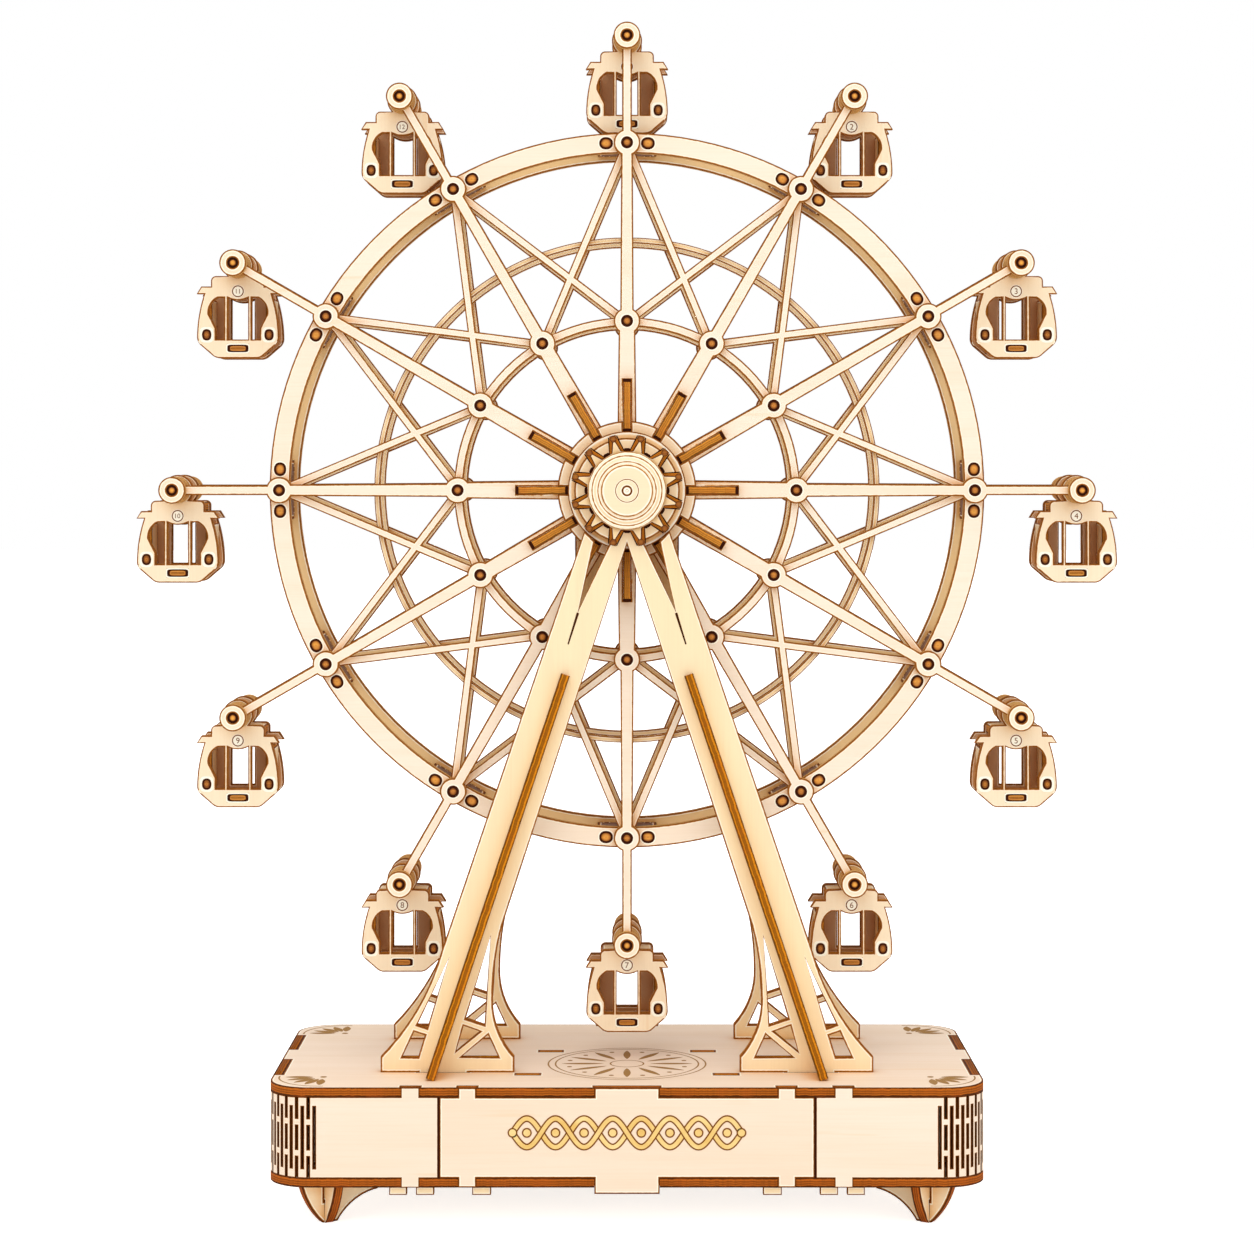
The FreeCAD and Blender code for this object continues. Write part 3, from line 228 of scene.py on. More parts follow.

# Bamboo, sawn and pushed home: the cut bundles show amber at the end, the rim is charred and matt; the ends grow
# lighter towards the middle, partly a painted highlight.
bamboo = {"brightAndHighlight": "#f6ad38", "amber": "#c0741a", "dark": "#74380a", "char": "#341205", "bundle": 0.45}

# Laser engraving: the veneer is burnt down to a golden floor inside a brown outline.
engraving = {"floor": "#eabf6c", "raised": "#f9dc98", "outline": "#7a4410"}


def noiseAt(tree, place, lengths, detail=2.0, offset=0.0):
    # noise whose features measure lengths millimetres along the grain, across it and through the sheet
    scaled = addNode(tree, "VectorMath", [place, [1 / length for length in lengths]], operation="MULTIPLY")
    moved = addNode(tree, "VectorMath", [scaled, (offset, offset * 0.7, 0.0)], operation="ADD")
    return addNode(tree, "TexNoise", {"Vector": moved, "Scale": 1.0, "Detail": detail, "Roughness": 0.55})


def finish(tree, colour, roughness, gloss, bump=None):
    # what every wood's nodes end with; bump is its height, strength and distance in mm
    inputs = {"Base Color": colour, "Roughness": roughness, "IOR": 1.5, "Specular IOR Level": gloss}
    if bump:
        height, strength, distance = bump
        inputs["Normal"] = addNode(tree, "Bump", {"Height": height, "Strength": strength,
                                                  "Distance": distance * mm})
    addNode(tree, "OutputMaterial", {"Surface": addNode(tree, "BsdfPrincipled", inputs)})


# MapRange takes a value, the two ends it comes from and the two it goes to. A Mix node's colours are its
# inputs 6 and 7 and its output 2.
rgb = {"output": 2, "data_type": "RGBA"}


def makeBasswood():
    look = basswood
    material, tree, read = newMaterial("basswoodVeneer", ("sheetPlace", "warmth", "tone", "shadeAndStain", "cornerShadeCut",
                                                          "scorch"))
    place = read["sheetPlace"]
    warmth = addNode(tree, "MapRange", [read["warmth"], 0.0, 1.5])
    colour = addNode(tree, "ValToRGB", [warmth],
                     stops=[(step / 3, code) for step, code in enumerate(look["warmths"])])
    fibre = noiseAt(tree, place, look["fibreSize"], 3.0)
    band = noiseAt(tree, place, look["bandSize"], 2.0, 5.0)
    streak = noiseAt(tree, place, look["streakSize"], 2.0, 11.0)
    for value, low, high, name, over in (
            (fibre, 0.45, 0.75, "fibre", "fibre"), (band, 0.4, 0.75, "band", "fibre"),
            (streak, 0.66, 0.78, "streak", "streak"), (read["tone"], 0.0, 1.0, "tone", "fibre")):
        amount = addNode(tree, "MapRange", [value, low, high, 0.0, look[name + "Amount"]])
        colour = addNode(tree, "Mix", {0: amount, 6: colour, 7: look[over]}, **rgb)
    # painted shade: towards the shaded brown up to 1, then on towards char up to 2
    colour = addNode(tree, "Mix", {0: read["shadeAndStain"], 6: colour, 7: look["shadeAndStain"]}, **rgb)
    charred = addNode(tree, "MapRange", [read["shadeAndStain"], 1.0, 2.0])
    colour = addNode(tree, "Mix", {0: charred, 6: colour, 7: scorchLine["char"]}, **rgb)
    # painted shade: occlusion within the corner reach multiplies the colour by the corner tint, less where the cut
    # corner shade attribute is set
    paintedCornerShade = addNode(tree, "AmbientOcclusion", {"Distance": look["cornerShadeReach"] * mm}, "AO", samples=5)
    paintedCornerShade = addNode(tree, "MapRange", [paintedCornerShade, 0.3, 0.92, look["cornerShadeAmount"], 0.0])
    left = addNode(tree, "MapRange", [read["cornerShadeCut"], 0.0, 1.0, 1.0, 0.0])
    paintedCornerShade = addNode(tree, "Math", [paintedCornerShade, left], operation="MULTIPLY")
    colour = addNode(tree, "Mix", {0: paintedCornerShade, 6: colour, 7: look["corner"]}, blend_type="MULTIPLY", **rgb)
    wobble = noiseAt(tree, place, (scorchLine["wobble"],) * 3, 2.0, 3.0)
    most = scorchLine["wobbleAmount"]
    wobble = addNode(tree, "MapRange", [wobble, 0.3, 0.7, -most, most])
    depth = addNode(tree, "Math", [read["scorch"], wobble], operation="ADD")
    line = addNode(tree, "ValToRGB", [depth], stops=[
        (0.48, scorchLine["pale"]), (0.53, scorchLine["tan"]), (0.60, scorchLine["brown"]),
        (0.90, scorchLine["char"])])
    inLine = addNode(tree, "MapRange", [depth, 0.06, 0.36])
    colour = addNode(tree, "Mix", {0: inLine, 6: colour, 7: line}, **rgb)
    rough = addNode(tree, "MapRange", [fibre, 0.3, 0.8, look["roughness"] - 0.05, look["roughness"] + 0.08])
    gloss = addNode(tree, "MapRange", [depth, 0.4, 0.7, 0.35, 0.03])
    finish(tree, colour, rough, gloss, (fibre, 0.5, look["bump"]))
    return material


def makeCutEdge():
    look = cutEdge
    material, tree, read = newMaterial("laserCutPly", ("sheetPlace", "burn", "shadeAndStain", "coreBurn"))
    place, burn = read["sheetPlace"], read["burn"]
    base = addNode(tree, "ValToRGB", [burn],
                   stops=[(step / 2, code) for step, code in enumerate(look["burns"])])
    through = addNode(tree, "SeparateXYZ", [place], 2)
    share = addNode(tree, "Math", [through, 1 / look["plyThickness"]], operation="MULTIPLY")
    share = addNode(tree, "Math", [share], operation="FRACT")
    rag = noiseAt(tree, place, (2.0, 2.0, 40.0), 3.0, 21.0)
    rag = addNode(tree, "MapRange", [rag, 0.3, 0.7, -0.05, 0.05])
    ragged = addNode(tree, "Math", [share, rag], operation="ADD")
    rim, glue, core = look["rim"], look["glue"], look["core"]
    layers = addNode(tree, "ValToRGB", [ragged], stops=[
        (0.16, rim), (0.24, 1), (0.28, 1), (0.34, glue), (0.40, glue), (0.46, core), (0.54, core),
        (0.60, glue), (0.66, glue), (0.72, 1), (0.84, 1), (0.93, rim)])
    shown = addNode(tree, "MapRange", [burn, 0.0, 0.6, 0.45, 1.0])
    layers = addNode(tree, "Mix", {0: shown, 6: "#ffffff", 7: layers}, **rgb)
    colour = addNode(tree, "Mix", {0: 1.0, 6: base, 7: layers}, blend_type="MULTIPLY", **rgb)
    stripe = noiseAt(tree, place, (look["stripeWidth"], look["stripeWidth"], 9.0), 2.0)
    pulses = addNode(tree, "MapRange", [stripe, 0.45, 0.75, 0.0, look["stripeAmount"]])
    strong = addNode(tree, "MapRange", [burn, 0.0, 0.5, 0.4, 1.0])
    burnt = addNode(tree, "Math", [pulses, strong], operation="MULTIPLY")
    patch = noiseAt(tree, place, (look["patchSize"],) * 3, 2.0, 7.0)
    patch = addNode(tree, "MapRange", [patch, 0.5, 0.8, 0.0, look["patchAmount"]])
    middle = addNode(tree, "ValToRGB", [ragged], stops=[(0.34, 0), (0.44, 1), (0.56, 1), (0.66, 0)])
    middle = addNode(tree, "Math", [middle, read["coreBurn"]], operation="MULTIPLY")
    for amount, over in ((burnt, look["char"]), (patch, look["burns"][2]), (read["shadeAndStain"], look["char"]),
                         (middle, look["char"])):
        colour = addNode(tree, "Mix", {0: amount, 6: colour, 7: over}, **rgb)
    finish(tree, colour, look["roughness"], look["gloss"], (stripe, 0.6, look["bump"]))
    return material


def makeDowel():
    look = bamboo
    material, tree, read = newMaterial("bambooDowel", ("sheetPlace", "scorch"))
    scorch = read["scorch"]
    bundles = noiseAt(tree, read["sheetPlace"], (12.0, look["bundle"], look["bundle"]), 3.0)
    wood = addNode(tree, "ValToRGB", [bundles], stops=[(0.30, look["dark"]), (0.5, look["amber"]),
                                                       (0.72, look["brightAndHighlight"])])
    # painted highlight in part: the end is bright amber where scorch is low, in its middle
    crown = addNode(tree, "ValToRGB", [scorch], stops=[(0.0, look["brightAndHighlight"]), (0.35, look["amber"]),
                                                       (0.6, look["dark"]), (0.85, look["char"])])
    charred = addNode(tree, "MapRange", [scorch, 0.5, 0.85])
    colour = addNode(tree, "Mix", {0: 0.75, 6: wood, 7: crown}, **rgb)
    colour = addNode(tree, "Mix", {0: charred, 6: colour, 7: look["char"]}, **rgb)
    rough = addNode(tree, "MapRange", [scorch, 0.3, 0.8, 0.42, 0.9])
    finish(tree, colour, rough, addNode(tree, "MapRange", [scorch, 0.3, 0.8, 0.45, 0.08]))
    return material


def makeEngraving():
    material, tree, read = newMaterial("engravedWood", ("sheetPlace", "scorch"))
    raster = noiseAt(tree, read["sheetPlace"], (8.0, 0.3, 5.0), 2.0)
    floor = addNode(tree, "ValToRGB", [raster], stops=[(0.3, engraving["floor"]), (0.7, engraving["raised"])])
    colour = addNode(tree, "Mix", {0: read["scorch"], 6: floor, 7: engraving["outline"]}, **rgb)
    finish(tree, colour, 0.85, 0.15)
    return material


veneer = makeBasswood()
cutPly = makeCutEdge()
dowel = makeDowel()
engraved = makeEngraving()
print("materials made")


# Meshes: a shape is a mesh under construction and the attributes that the materials read.

def newShape(node=None):
    # empty, or a copy of a node's mesh
    bm = bmesh.new()
    if node:
        bm.from_mesh(nodes[node].data)
        bmesh.ops.remove_doubles(bm, verts=bm.verts[:], dist=1e-6)
    layers = {"sheetPlace": bm.verts.layers.float_vector.new("sheetPlace")}
    for name in ("scorch", "warmth", "burn", "tone", "shadeAndStain", "cornerShadeCut", "coreBurn"):
        layers[name] = bm.verts.layers.float.new(name)
    return bm, layers


def newPiece(name, shape, materials, node=None, body=None, crease=40):
    # shows in place of a node, or rides on a body as an addition
    bm = shape[0]
    mesh = bpy.data.meshes.new(name)
    bm.to_mesh(mesh)
    bm.free()
    for material in materials:
        mesh.materials.append(material)
    mesh.shade_smooth()
    mesh.set_sharp_from_angle(angle=math.radians(crease))
    piece = addToScene(name, mesh)
    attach(piece, bodyOf[node] if node else body)
    if node:
        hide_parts(node)


def newVert(shape, spot, place, **values):
    bm, layers = shape
    vert = bm.verts.new(spot)
    vert[layers["sheetPlace"]] = place
    for key, value in values.items():
        vert[layers[key]] = value
    return vert


def bridge(shape, rings, outward, material=0):
    # faces between rings of points; a ring of one point closes the shape
    made = []
    for low, high in zip(rings, rings[1:]):
        for step in range(max(len(low), len(high))):
            corners = list(dict.fromkeys([low[step % len(low)], low[(step + 1) % len(low)],
                                          high[(step + 1) % len(high)], high[step % len(high)]]))
            if len(corners) > 2:
                face = shape[0].faces.new(corners if outward < 0 else corners[::-1])
                face.material_index = material
                made.append(face)
    return made


def addPatch(shape, points, normal, scorch):
    face = shape[0].faces.new([newVert(shape, point, point / mm, scorch=scorch) for point in points])
    face.normal_update()
    if face.normal.dot(normal) < 0:
        face.normal_flip()


def superEllipse(a, b, power, steps):
    # an oval between an ellipse (power 2) and a rectangle, as points
    points = []
    for step in range(steps):
        angle = 2 * math.pi * step / steps
        cos, sin = math.cos(angle), math.sin(angle)
        points.append((a * math.copysign(abs(cos) ** (2 / power), cos),
                       b * math.copysign(abs(sin) ** (2 / power), sin)))
    return points


def ringStack(shape, centre, outward, levels, turn=0.0, power=2.2, steps=28, material=0):
    # ovals joined by faces; a level is (half length, half width, height, scorch) in mm
    rotation = Matrix.Rotation(turn, 3, "Y")
    rings = []
    for a, b, reach, scorch in levels:
        ring = []
        for x, z in superEllipse(a, b, power, steps) if a > 0 else [(0, 0)]:
            spot = rotation @ Vector((x, 0, z))
            ring.append(newVert(shape, centre + Vector((spot.x, outward * reach, spot.z)) * mm,
                                Vector((spot.x, spot.z, 0)) + centre / mm * 1.3, scorch=scorch, warmth=0.5))
        rings.append(ring)
    bridge(shape, rings, outward, material)


def lathe(shape, profile, centre, outward, segments=48, warmth=0.5, tone=0.3):
    # profile is a list of (radius, distance outward, scorch) in mm; the axis is along Y
    rings = []
    for radius, reach, scorch in profile:
        ring = []
        for step in range(segments if radius > 0 else 1):
            angle = 2 * math.pi * step / segments
            x, z = math.cos(angle) * radius, math.sin(angle) * radius
            ring.append(newVert(shape, centre + Vector((x, outward * reach, z)) * mm,
                                Vector((x, z, reach)) + centre / mm * 1.7,
                                scorch=scorch, warmth=warmth, burn=0.5, tone=tone))
        rings.append(ring)
    return bridge(shape, rings, outward)


# Sheets: each plywood node is copied, its faces get a scorched outline and its cut edges their layers.

# warmth, burn, the stain and painted shade, how far the painted corner shade is taken out, and coreBurn as above;
# line and pale are the widths of the scorched line and the pale band in mm, peak is how far the line is charred,
# and grain is the way of the grain of sheets that are about as long as wide. Front and rear sheets of a kind share
# its entry. The golden warmth of the rear sheets, the middle rings, the feet and the cabins' shells is partly
# painted shade, the golden tint of the shade that they sit in.
sheetLooks = {
    "default": {"warmth": 0.5, "burn": 0.5, "shadeAndStain": 0.0, "cornerShadeCut": 0.0, "coreBurn": 0.0, "line": 0.52,
                "pale": 0.42, "peak": 0.79, "grain": (1, 0, 0)},
    "bottom_plate": {"warmth": 0.25, "peak": 1.0, "burn": 0.88},
    "deck_plate": {"warmth": 0.15, "peak": 1.0, "burn": 0.85, "pale": 0.5},
    "panel": {"warmth": 0.22, "peak": 1.0, "burn": 0.8, "line": 0.42},
    "feet": {"warmth": 0.8, "peak": 1.0, "burn": 0.9, "line": 0.6},
    "a_frame": {"line": 0.5, "grain": (0, 0, 1)},
    # the front frame has most of the painted corner shade taken out beside its ribs
    "front_a_frame": {"warmth": 0.95, "cornerShadeCut": 0.8},
    "rear_a_frame": {"warmth": 1.1},
    "leg_ribs": {"warmth": 0.9, "coreBurn": 0.45, "line": 0.4},
    # painted light: the wide pale band brightens the narrow ring of the bearing plates, which lies in shade under
    # the head
    "bearing_plates": {"warmth": 1.0, "peak": 0.85, "line": 0.36, "pale": 0.8},
    "star": {"warmth": 1.15, "peak": 1.0, "burn": 0.6, "line": 0.32, "pale": 0.16},
    "spokes": {"line": 0.47, "pale": 0.24},
    "front_spokes": {"burn": 0.25},
    "rear_spokes": {"warmth": 1.15, "burn": 0.3},
    "lattice": {"line": 0.47, "pale": 0.3},
    "front_lattice": {"burn": 0.12},
    "rear_lattice": {"warmth": 1.4, "burn": 0.2},
    "middle_rings": {"warmth": 1.2, "burn": 0.2, "line": 0.3, "pale": 0.2},
    # painted shade with some char: the rim spacers, in shade between the two rims, are drawn dark brown and mostly
    # charred
    "rim_spacers": {"warmth": 1.2, "burn": 0.6, "shadeAndStain": 1.75, "line": 0.8, "pale": 0.4, "peak": 0.95},
    "hub_gussets": {"warmth": 0.9, "burn": 0.42},
    "front_hub_ring": {"warmth": 0.7, "burn": 0.45},
    "rear_hub_ring": {"warmth": 1.2},
    "hub_core": {"warmth": 1.4, "burn": 0.6},
    "pivot_washers": {"warmth": 0.65, "burn": 0.15, "line": 0.42},
    "pivot_spacers": {"warmth": 0.9, "burn": 0.15, "line": 0.36},
    "gondola_faces": {"warmth": 0.75, "burn": 0.42, "line": 0.4, "pale": 0.14},
    "gondola_shell": {"warmth": 1.2, "burn": 0.42, "line": 0.4},
}
cabinInsideShade = 0.85                     # painted shade on the inner sides of the cabins' rear faces

# rounded tab ends in the rim, in mm from the axle, and in the cabins, from the pivot: middle and what
# they cover of the slot, half along and half across
tabEnds = {"rimPlace": 96.1, "rimOffset": 5.8, "rimReach": (2.8, 1.95), "cabinOffset": 8.7, "cabinDrop": 19.4,
           "cabinReach": (2.0, 2.4), "floorDrop": 23.2, "floorReach": (3.8, 1.9)}
# what isn't scorched beside the ribs of the legs: the foot of a leg's middle line, the drop from the
# axle where the rib starts, and the width on each side
legLine = {"foot": 53.17, "from": 55.0, "clear": 2.3}
gussetLine = {"from": 15.0, "to": 30.0, "half": 1.45}
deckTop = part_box("deck_plate")[1].z


def lookOf(name):
    kind = name.removeprefix("front_").removeprefix("rear_")
    if name.startswith("gondola_"):
        kind = "gondola" + name[10:]
    return {**sheetLooks["default"], **sheetLooks.get(kind, {}), **sheetLooks.get(name, {})}


def spokePoint(radius, across, number, y):
    # a place in mm along and beside one of the twelve spokes
    angle = math.radians(30 * number)
    return Vector((radius * math.sin(angle) + across * math.cos(angle), y,
                   radius * math.cos(angle) - across * math.sin(angle))) * mm + Vector((hub.x, 0, hub.z))


def rimTab(number, side, y):
    return spokePoint(tabEnds["rimPlace"], side * tabEnds["rimOffset"], number, y)


def coveredSpots(name):
    # slots that rounded tab ends cover: middle, turn in twelfths, and half of what they cover
    if name.endswith("_faces"):
        pivot = jointPlace[name[:10] + "_swing"]
        tabs = [(0, tabEnds["floorDrop"], tabEnds["floorReach"])]
        for side in (-1, 1):
            tabs.append((side * tabEnds["cabinOffset"], tabEnds["cabinDrop"], tabEnds["cabinReach"]))
        return [(Vector((pivot.x + x * mm, 0, pivot.z - drop * mm)), 0, reach) for x, drop, reach in tabs]
    if name.endswith("_lattice"):
        return [(rimTab(number, side, 0), number, tabEnds["rimReach"])
                for number in range(12) for side in (-1, 1)]
    return []


def covered(spots, co):
    for middle, number, (wide, tall) in spots:
        offset = Vector((co.x - middle.x, 0, co.z - middle.z)) / mm
        if offset.length < wide + tall:      # near enough to turn it into the slot's own directions
            angle = math.radians(30 * number)
            along = offset.x * math.cos(angle) - offset.z * math.sin(angle)
            across = offset.x * math.sin(angle) + offset.z * math.cos(angle)
            if abs(along) < wide and abs(across) < tall:
                return True
    return False


def besideRib(name, co):
    # on the face of a leg, beside the rib that stands in it
    if not name.endswith("_a_frame"):
        return False
    down, across = hub.z - co.z, abs(co.x - hub.x)
    lean = math.atan(legLine["foot"] * mm / (hub.z - deckTop))
    away = abs(across - down * math.tan(lean)) * math.cos(lean)
    return down > legLine["from"] * mm and away < legLine["clear"] * mm


def besideGusset(name, co):
    # in a spoke plate, at the border of a slot that a hub gusset fills
    if not name.endswith("_spokes"):
        return False
    x, z = co.x - hub.x, co.z - hub.z
    away = (math.atan2(x, z) + math.pi / 12) % (math.pi / 6) - math.pi / 12
    radius = math.hypot(x, z) / mm
    inReach = gussetLine["from"] < radius < gussetLine["to"]
    return inReach and abs(math.sin(away)) * radius < gussetLine["half"]


def islandsOf(bm):
    # the faces of each separate solid
    bm.faces.index_update()
    seen = [False] * len(bm.faces)
    islands = []
    for first in bm.faces:
        if seen[first.index]:
            continue
        seen[first.index] = True
        island, waiting = [], [first]
        while waiting:
            face = waiting.pop()
            island.append(face)
            for edge in face.edges:
                for other in edge.link_faces:
                    if not seen[other.index]:
                        seen[other.index] = True
                        waiting.append(other)
        islands.append(island)
    return islands


def sheetNormal(island):
    # the direction that most of a sheet's surface faces; opposite sides count as one
    oneSide = Vector((1, 1.3, 1.7))
    areas = {}
    for face in island:
        n = face.normal if face.normal.dot(oneSide) >= 0 else -face.normal
        key = (round(n.x, 2), round(n.y, 2), round(n.z, 2))
        area, total = areas.get(key, (0.0, Vector()))
        areas[key] = (area + face.calc_area(), total + n * face.calc_area())
    return max(areas.values(), key=lambda item: item[0])[1].normalized()


def grainAxis(points, normal, hint):
    # along the sheet's length, or along the hint where it isn't much longer than wide
    flat = points - np.outer(points @ np.array(normal), np.array(normal))
    spread, axes = np.linalg.eigh(np.cov((flat - flat.mean(0)).T))
    along = Vector(axes[:, 2]) if spread[2] > 1.7 * spread[1] else Vector(hint)
    along = along - normal * along.dot(normal)
    if along.length < 0.1:
        along = normal.orthogonal()
    return along.normalized()


def insetBand(bm, flat, width):
    # insets a region all round, less where a corner or a narrow place leaves no room for the width
    facing = {face: face.normal.copy() for face in flat}
    made = bmesh.ops.inset_region(bm, faces=flat, use_boundary=True, use_even_offset=True,
                                  thickness=width, depth=0.0)["faces"]
    inner = {vert for face in flat for vert in face.verts}
    start = {}
    longest = width * 1.5
    for face in made:
        for edge in face.edges:
            a, b = edge.verts
            if (a in inner) != (b in inner):
                inside, outside = (a, b) if a in inner else (b, a)
                start[inside] = outside.co.copy()
                step = inside.co - outside.co
                if step.length > longest:
                    inside.co = outside.co + step.normalized() * longest
            for other in edge.link_faces:
                if other in facing:
                    facing[face] = facing[other]
    for attempt in range(6):     # points of faces that fold over go back halfway, and again while they fold
        folded = set()
        for face, normal in facing.items():
            face.normal_update()
            if face.normal.dot(normal) < 0.6:
                folded.update(vert for vert in face.verts if vert in start)
        for vert in folded:
            vert.co = vert.co.lerp(start[vert], 0.5)
    return made, inner


def scorchOutline(shape, flat, line, pale, peak=1.0):
    # the burnt line, darkest at peak, and the pale band along every border of the flat faces; mm
    bm, layers = shape
    made, inner = insetBand(bm, flat, line * mm)
    for vert in {vert for face in made for vert in face.verts}:
        vert[layers["scorch"]] = 0.5 if vert in inner else peak
    band, middle = insetBand(bm, flat, pale * mm)
    for vert in middle:
        vert[layers["scorch"]] = 0.0
    for face in made + band:
        face.material_index = 0
    return made + band


def grainShift():
    # every sheet is cut from another place of the board
    return Vector((dice.uniform(-300, 300), dice.uniform(-300, 300), 0))


def dressSheet(name):
    look = lookOf(name)
    shape = bm, layers = newShape(name)
    spots = coveredSpots(name)
    for island in islandsOf(bm):
        normal = sheetNormal(island)
        # a dict keeps its order; a set's would turn the grain round in some runs
        points = np.array([vert.co for vert in dict.fromkeys(vert for face in island for vert in face.verts)])
        along = grainAxis(points, normal, look["grain"])
        across = normal.cross(along)
        levels = points @ np.array(normal)
        thickness = (levels.max() - levels.min()) / mm
        plies = max(1, round(thickness / cutEdge["plyThickness"]))
        stretch = plies * cutEdge["plyThickness"] / thickness
        shift = grainShift()
        tone = dice.random()
        shadedInside = name.endswith("_faces") and points[:, 1].mean() > 0
        inside = points[:, 1].min() + 0.2 * mm
        for face in island:
            face.material_index = 0 if abs(face.normal.dot(normal)) > 0.99 else 1
        flat = [face for face in island if face.material_index == 0]
        made = scorchOutline(shape, flat, look["line"], look["pale"], look["peak"])
        for vert in {v for face in island + made for v in face.verts}:
            vert[layers["sheetPlace"]] = Vector((vert.co.dot(along) / mm, vert.co.dot(across) / mm,
                                                 (vert.co.dot(normal) - levels.min()) / mm * stretch)) + shift
            for key in ("warmth", "burn", "shadeAndStain", "cornerShadeCut", "coreBurn"):
                vert[layers[key]] = look[key]
            vert[layers["tone"]] = tone
            if covered(spots, vert.co) or besideRib(name, vert.co):
                vert[layers["scorch"]] = 0.0
            elif vert[layers["scorch"]] > 0 and besideGusset(name, vert.co):
                vert[layers["scorch"]] = 0.5
            # painted shade: the inner side of each cabin's rear face, seen through the windows
            if shadedInside and vert.co.y < inside:
                vert[layers["shadeAndStain"]] = cabinInsideShade
    newPiece(name + "Dressed", shape, [veneer, cutPly], name, crease=32)


wraps = ["left_side_wrap", "right_side_wrap"]
turned = ["front_cap", "crank_knob", "axle", "crank_pin", "pivot_rods"]
for name in sorted(nodes):
    if name not in wraps + turned:
        dressSheet(name)
print("sheets dressed")


# The two walls that bend round the corners.

wrapLook = {"warmth": 0.22, "burn": 0.75, "shadeAndStain": 0.4, "tone": 0.2, "line": 0.28, "pale": 0.16,
            "cornerRadius": 11.5, "skin": 0.12}


def wrapPlace(point, reach, half):
    # distance along the bent wall from its middle, height, and depth in from the outside, in mm
    radius = wrapLook["cornerRadius"] * mm
    cornerX, cornerY = reach - radius, half - radius
    x, y = abs(point.x), abs(point.y)
    if x > cornerX and y > cornerY:
        angle = math.atan2(y - cornerY, x - cornerX)
        along = cornerY + radius * angle
        depth = radius - math.hypot(x - cornerX, y - cornerY)
    elif x > cornerX:
        along, depth = y, reach - x
    else:
        along, depth = cornerY + radius * math.pi / 2 + cornerX - x, half - y
    return Vector((math.copysign(along, point.y * point.x), point.z, depth)) / mm


def dressWrap(name):
    look = wrapLook
    low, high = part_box(name)
    reach, half = max(abs(low.x), abs(high.x)), max(abs(low.y), abs(high.y))
    shape = bm, layers = newShape(name)
    flat = []
    for face in bm.faces:
        depths = [wrapPlace(vert.co, reach, half).z for vert in face.verts]
        onSkin = max(depths) < look["skin"] or min(depths) > cutEdge["plyThickness"] - look["skin"]
        face.material_index = 0 if onSkin and abs(face.normal.z) < 0.5 else 1
        if face.material_index == 0:
            flat.append(face)
    scorchOutline(shape, flat, look["line"], look["pale"])
    shift = grainShift()
    for vert in bm.verts:
        vert[layers["sheetPlace"]] = wrapPlace(vert.co, reach, half) + shift
        for key in ("warmth", "burn", "tone"):
            vert[layers[key]] = look[key]
        if vert[layers["scorch"]] > 0.9:
            vert[layers["shadeAndStain"]] = look["shadeAndStain"]
    newPiece(name + "Dressed", shape, [veneer, cutPly], name, crease=32)


for name in wraps:
    dressWrap(name)
print("wrapped walls dressed")


# Turned parts and pins: profiles of (radius, distance outward, scorch) in mm.

capRings = {"rim": 10.6, "shoulder": 9.5, "step": 7.9, "table": 6.9, "boss": 3.1}     # radii on the front cap


def groove(radius, level, width=0.34, depth=0.1, burn=0.62):
    # a fine turned line: down and up again, tan to brown at the bottom, with a pale border
    border = width * 1.8
    return [(radius + border, level, 0.0), (radius + width, level, 0.42), (radius, level - depth, burn),
            (radius - width, level, 0.42), (radius - border, level, 0.0)]


def lengthOf(node):
    low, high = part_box(node)
    return (high.y - low.y) / mm


def makeTurned(name, node, material, profile, place, outward=1, segments=40, warmth=0.5, tone=0.3):
    # in place of its node, from its front face backward (outward 1) or from its back face forward (-1)
    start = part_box(node)[0 if outward > 0 else 1].y
    shape = newShape()
    lathe(shape, profile, Vector((place.x, start, place.z)), outward, segments, warmth, tone)
    bmesh.ops.remove_doubles(shape[0], verts=shape[0].verts[:], dist=1e-6)
    newPiece(name, shape, [material], node)


def makeFrontCap():
    thick = lengthOf("front_cap")
    rim, table = capRings["rim"], capRings["table"]
    profile = [(1.6, 0, 1.0), (rim - 0.3, 0.0, 1.0), (rim, 0.25, 0.72), (rim, 0.95, 0.62),
               (rim - 0.25, 1.2, 0.5), (rim - 0.55, 1.27, 0.3)]
    profile += groove(capRings["shoulder"], 1.4) + groove(capRings["step"], 1.75)
    profile += [(table + 0.25, 1.85, 0.5), (table, thick - 0.15, 0.62), (table - 0.2, thick, 0.5),
                (table - 0.5, thick, 0.3), (table - 0.8, thick, 0.0)]
    profile += groove(capRings["boss"], thick, 0.2, 0.1, 0.74)
    profile += [(1.9, thick, 0.0), (1.55, thick, 0.45), (1.5, thick - 0.02, 0.45)]
    makeTurned("frontCapTurned", "front_cap", veneer, profile, hub, -1, 96, 0.85)


def makeRods():
    # cabin rods: their sawn ends lie a little inside the washers
    half = lengthOf("pivot_rods") / 2
    shape = newShape()
    end = [(1.5, 0.0, 0.9), (1.5, half - 0.3, 1.0), (1.0, half - 0.3, 1.0), (0.8, half - 0.2, 0.62),
           (0.5, half - 0.05, 0.2), (0.2, half, 0.0), (0, half, 0.0)]
    for number in range(12):
        joint = jointPlace[f"gondola_{number + 1:02d}_swing"]
        for outward in (-1, 1):
            lathe(shape, end, Vector((joint.x, 0, joint.z)), outward, 24)
    bmesh.ops.remove_doubles(shape[0], verts=shape[0].verts[:], dist=1e-6)
    newPiece("cabinRods", shape, [dowel], "pivot_rods")


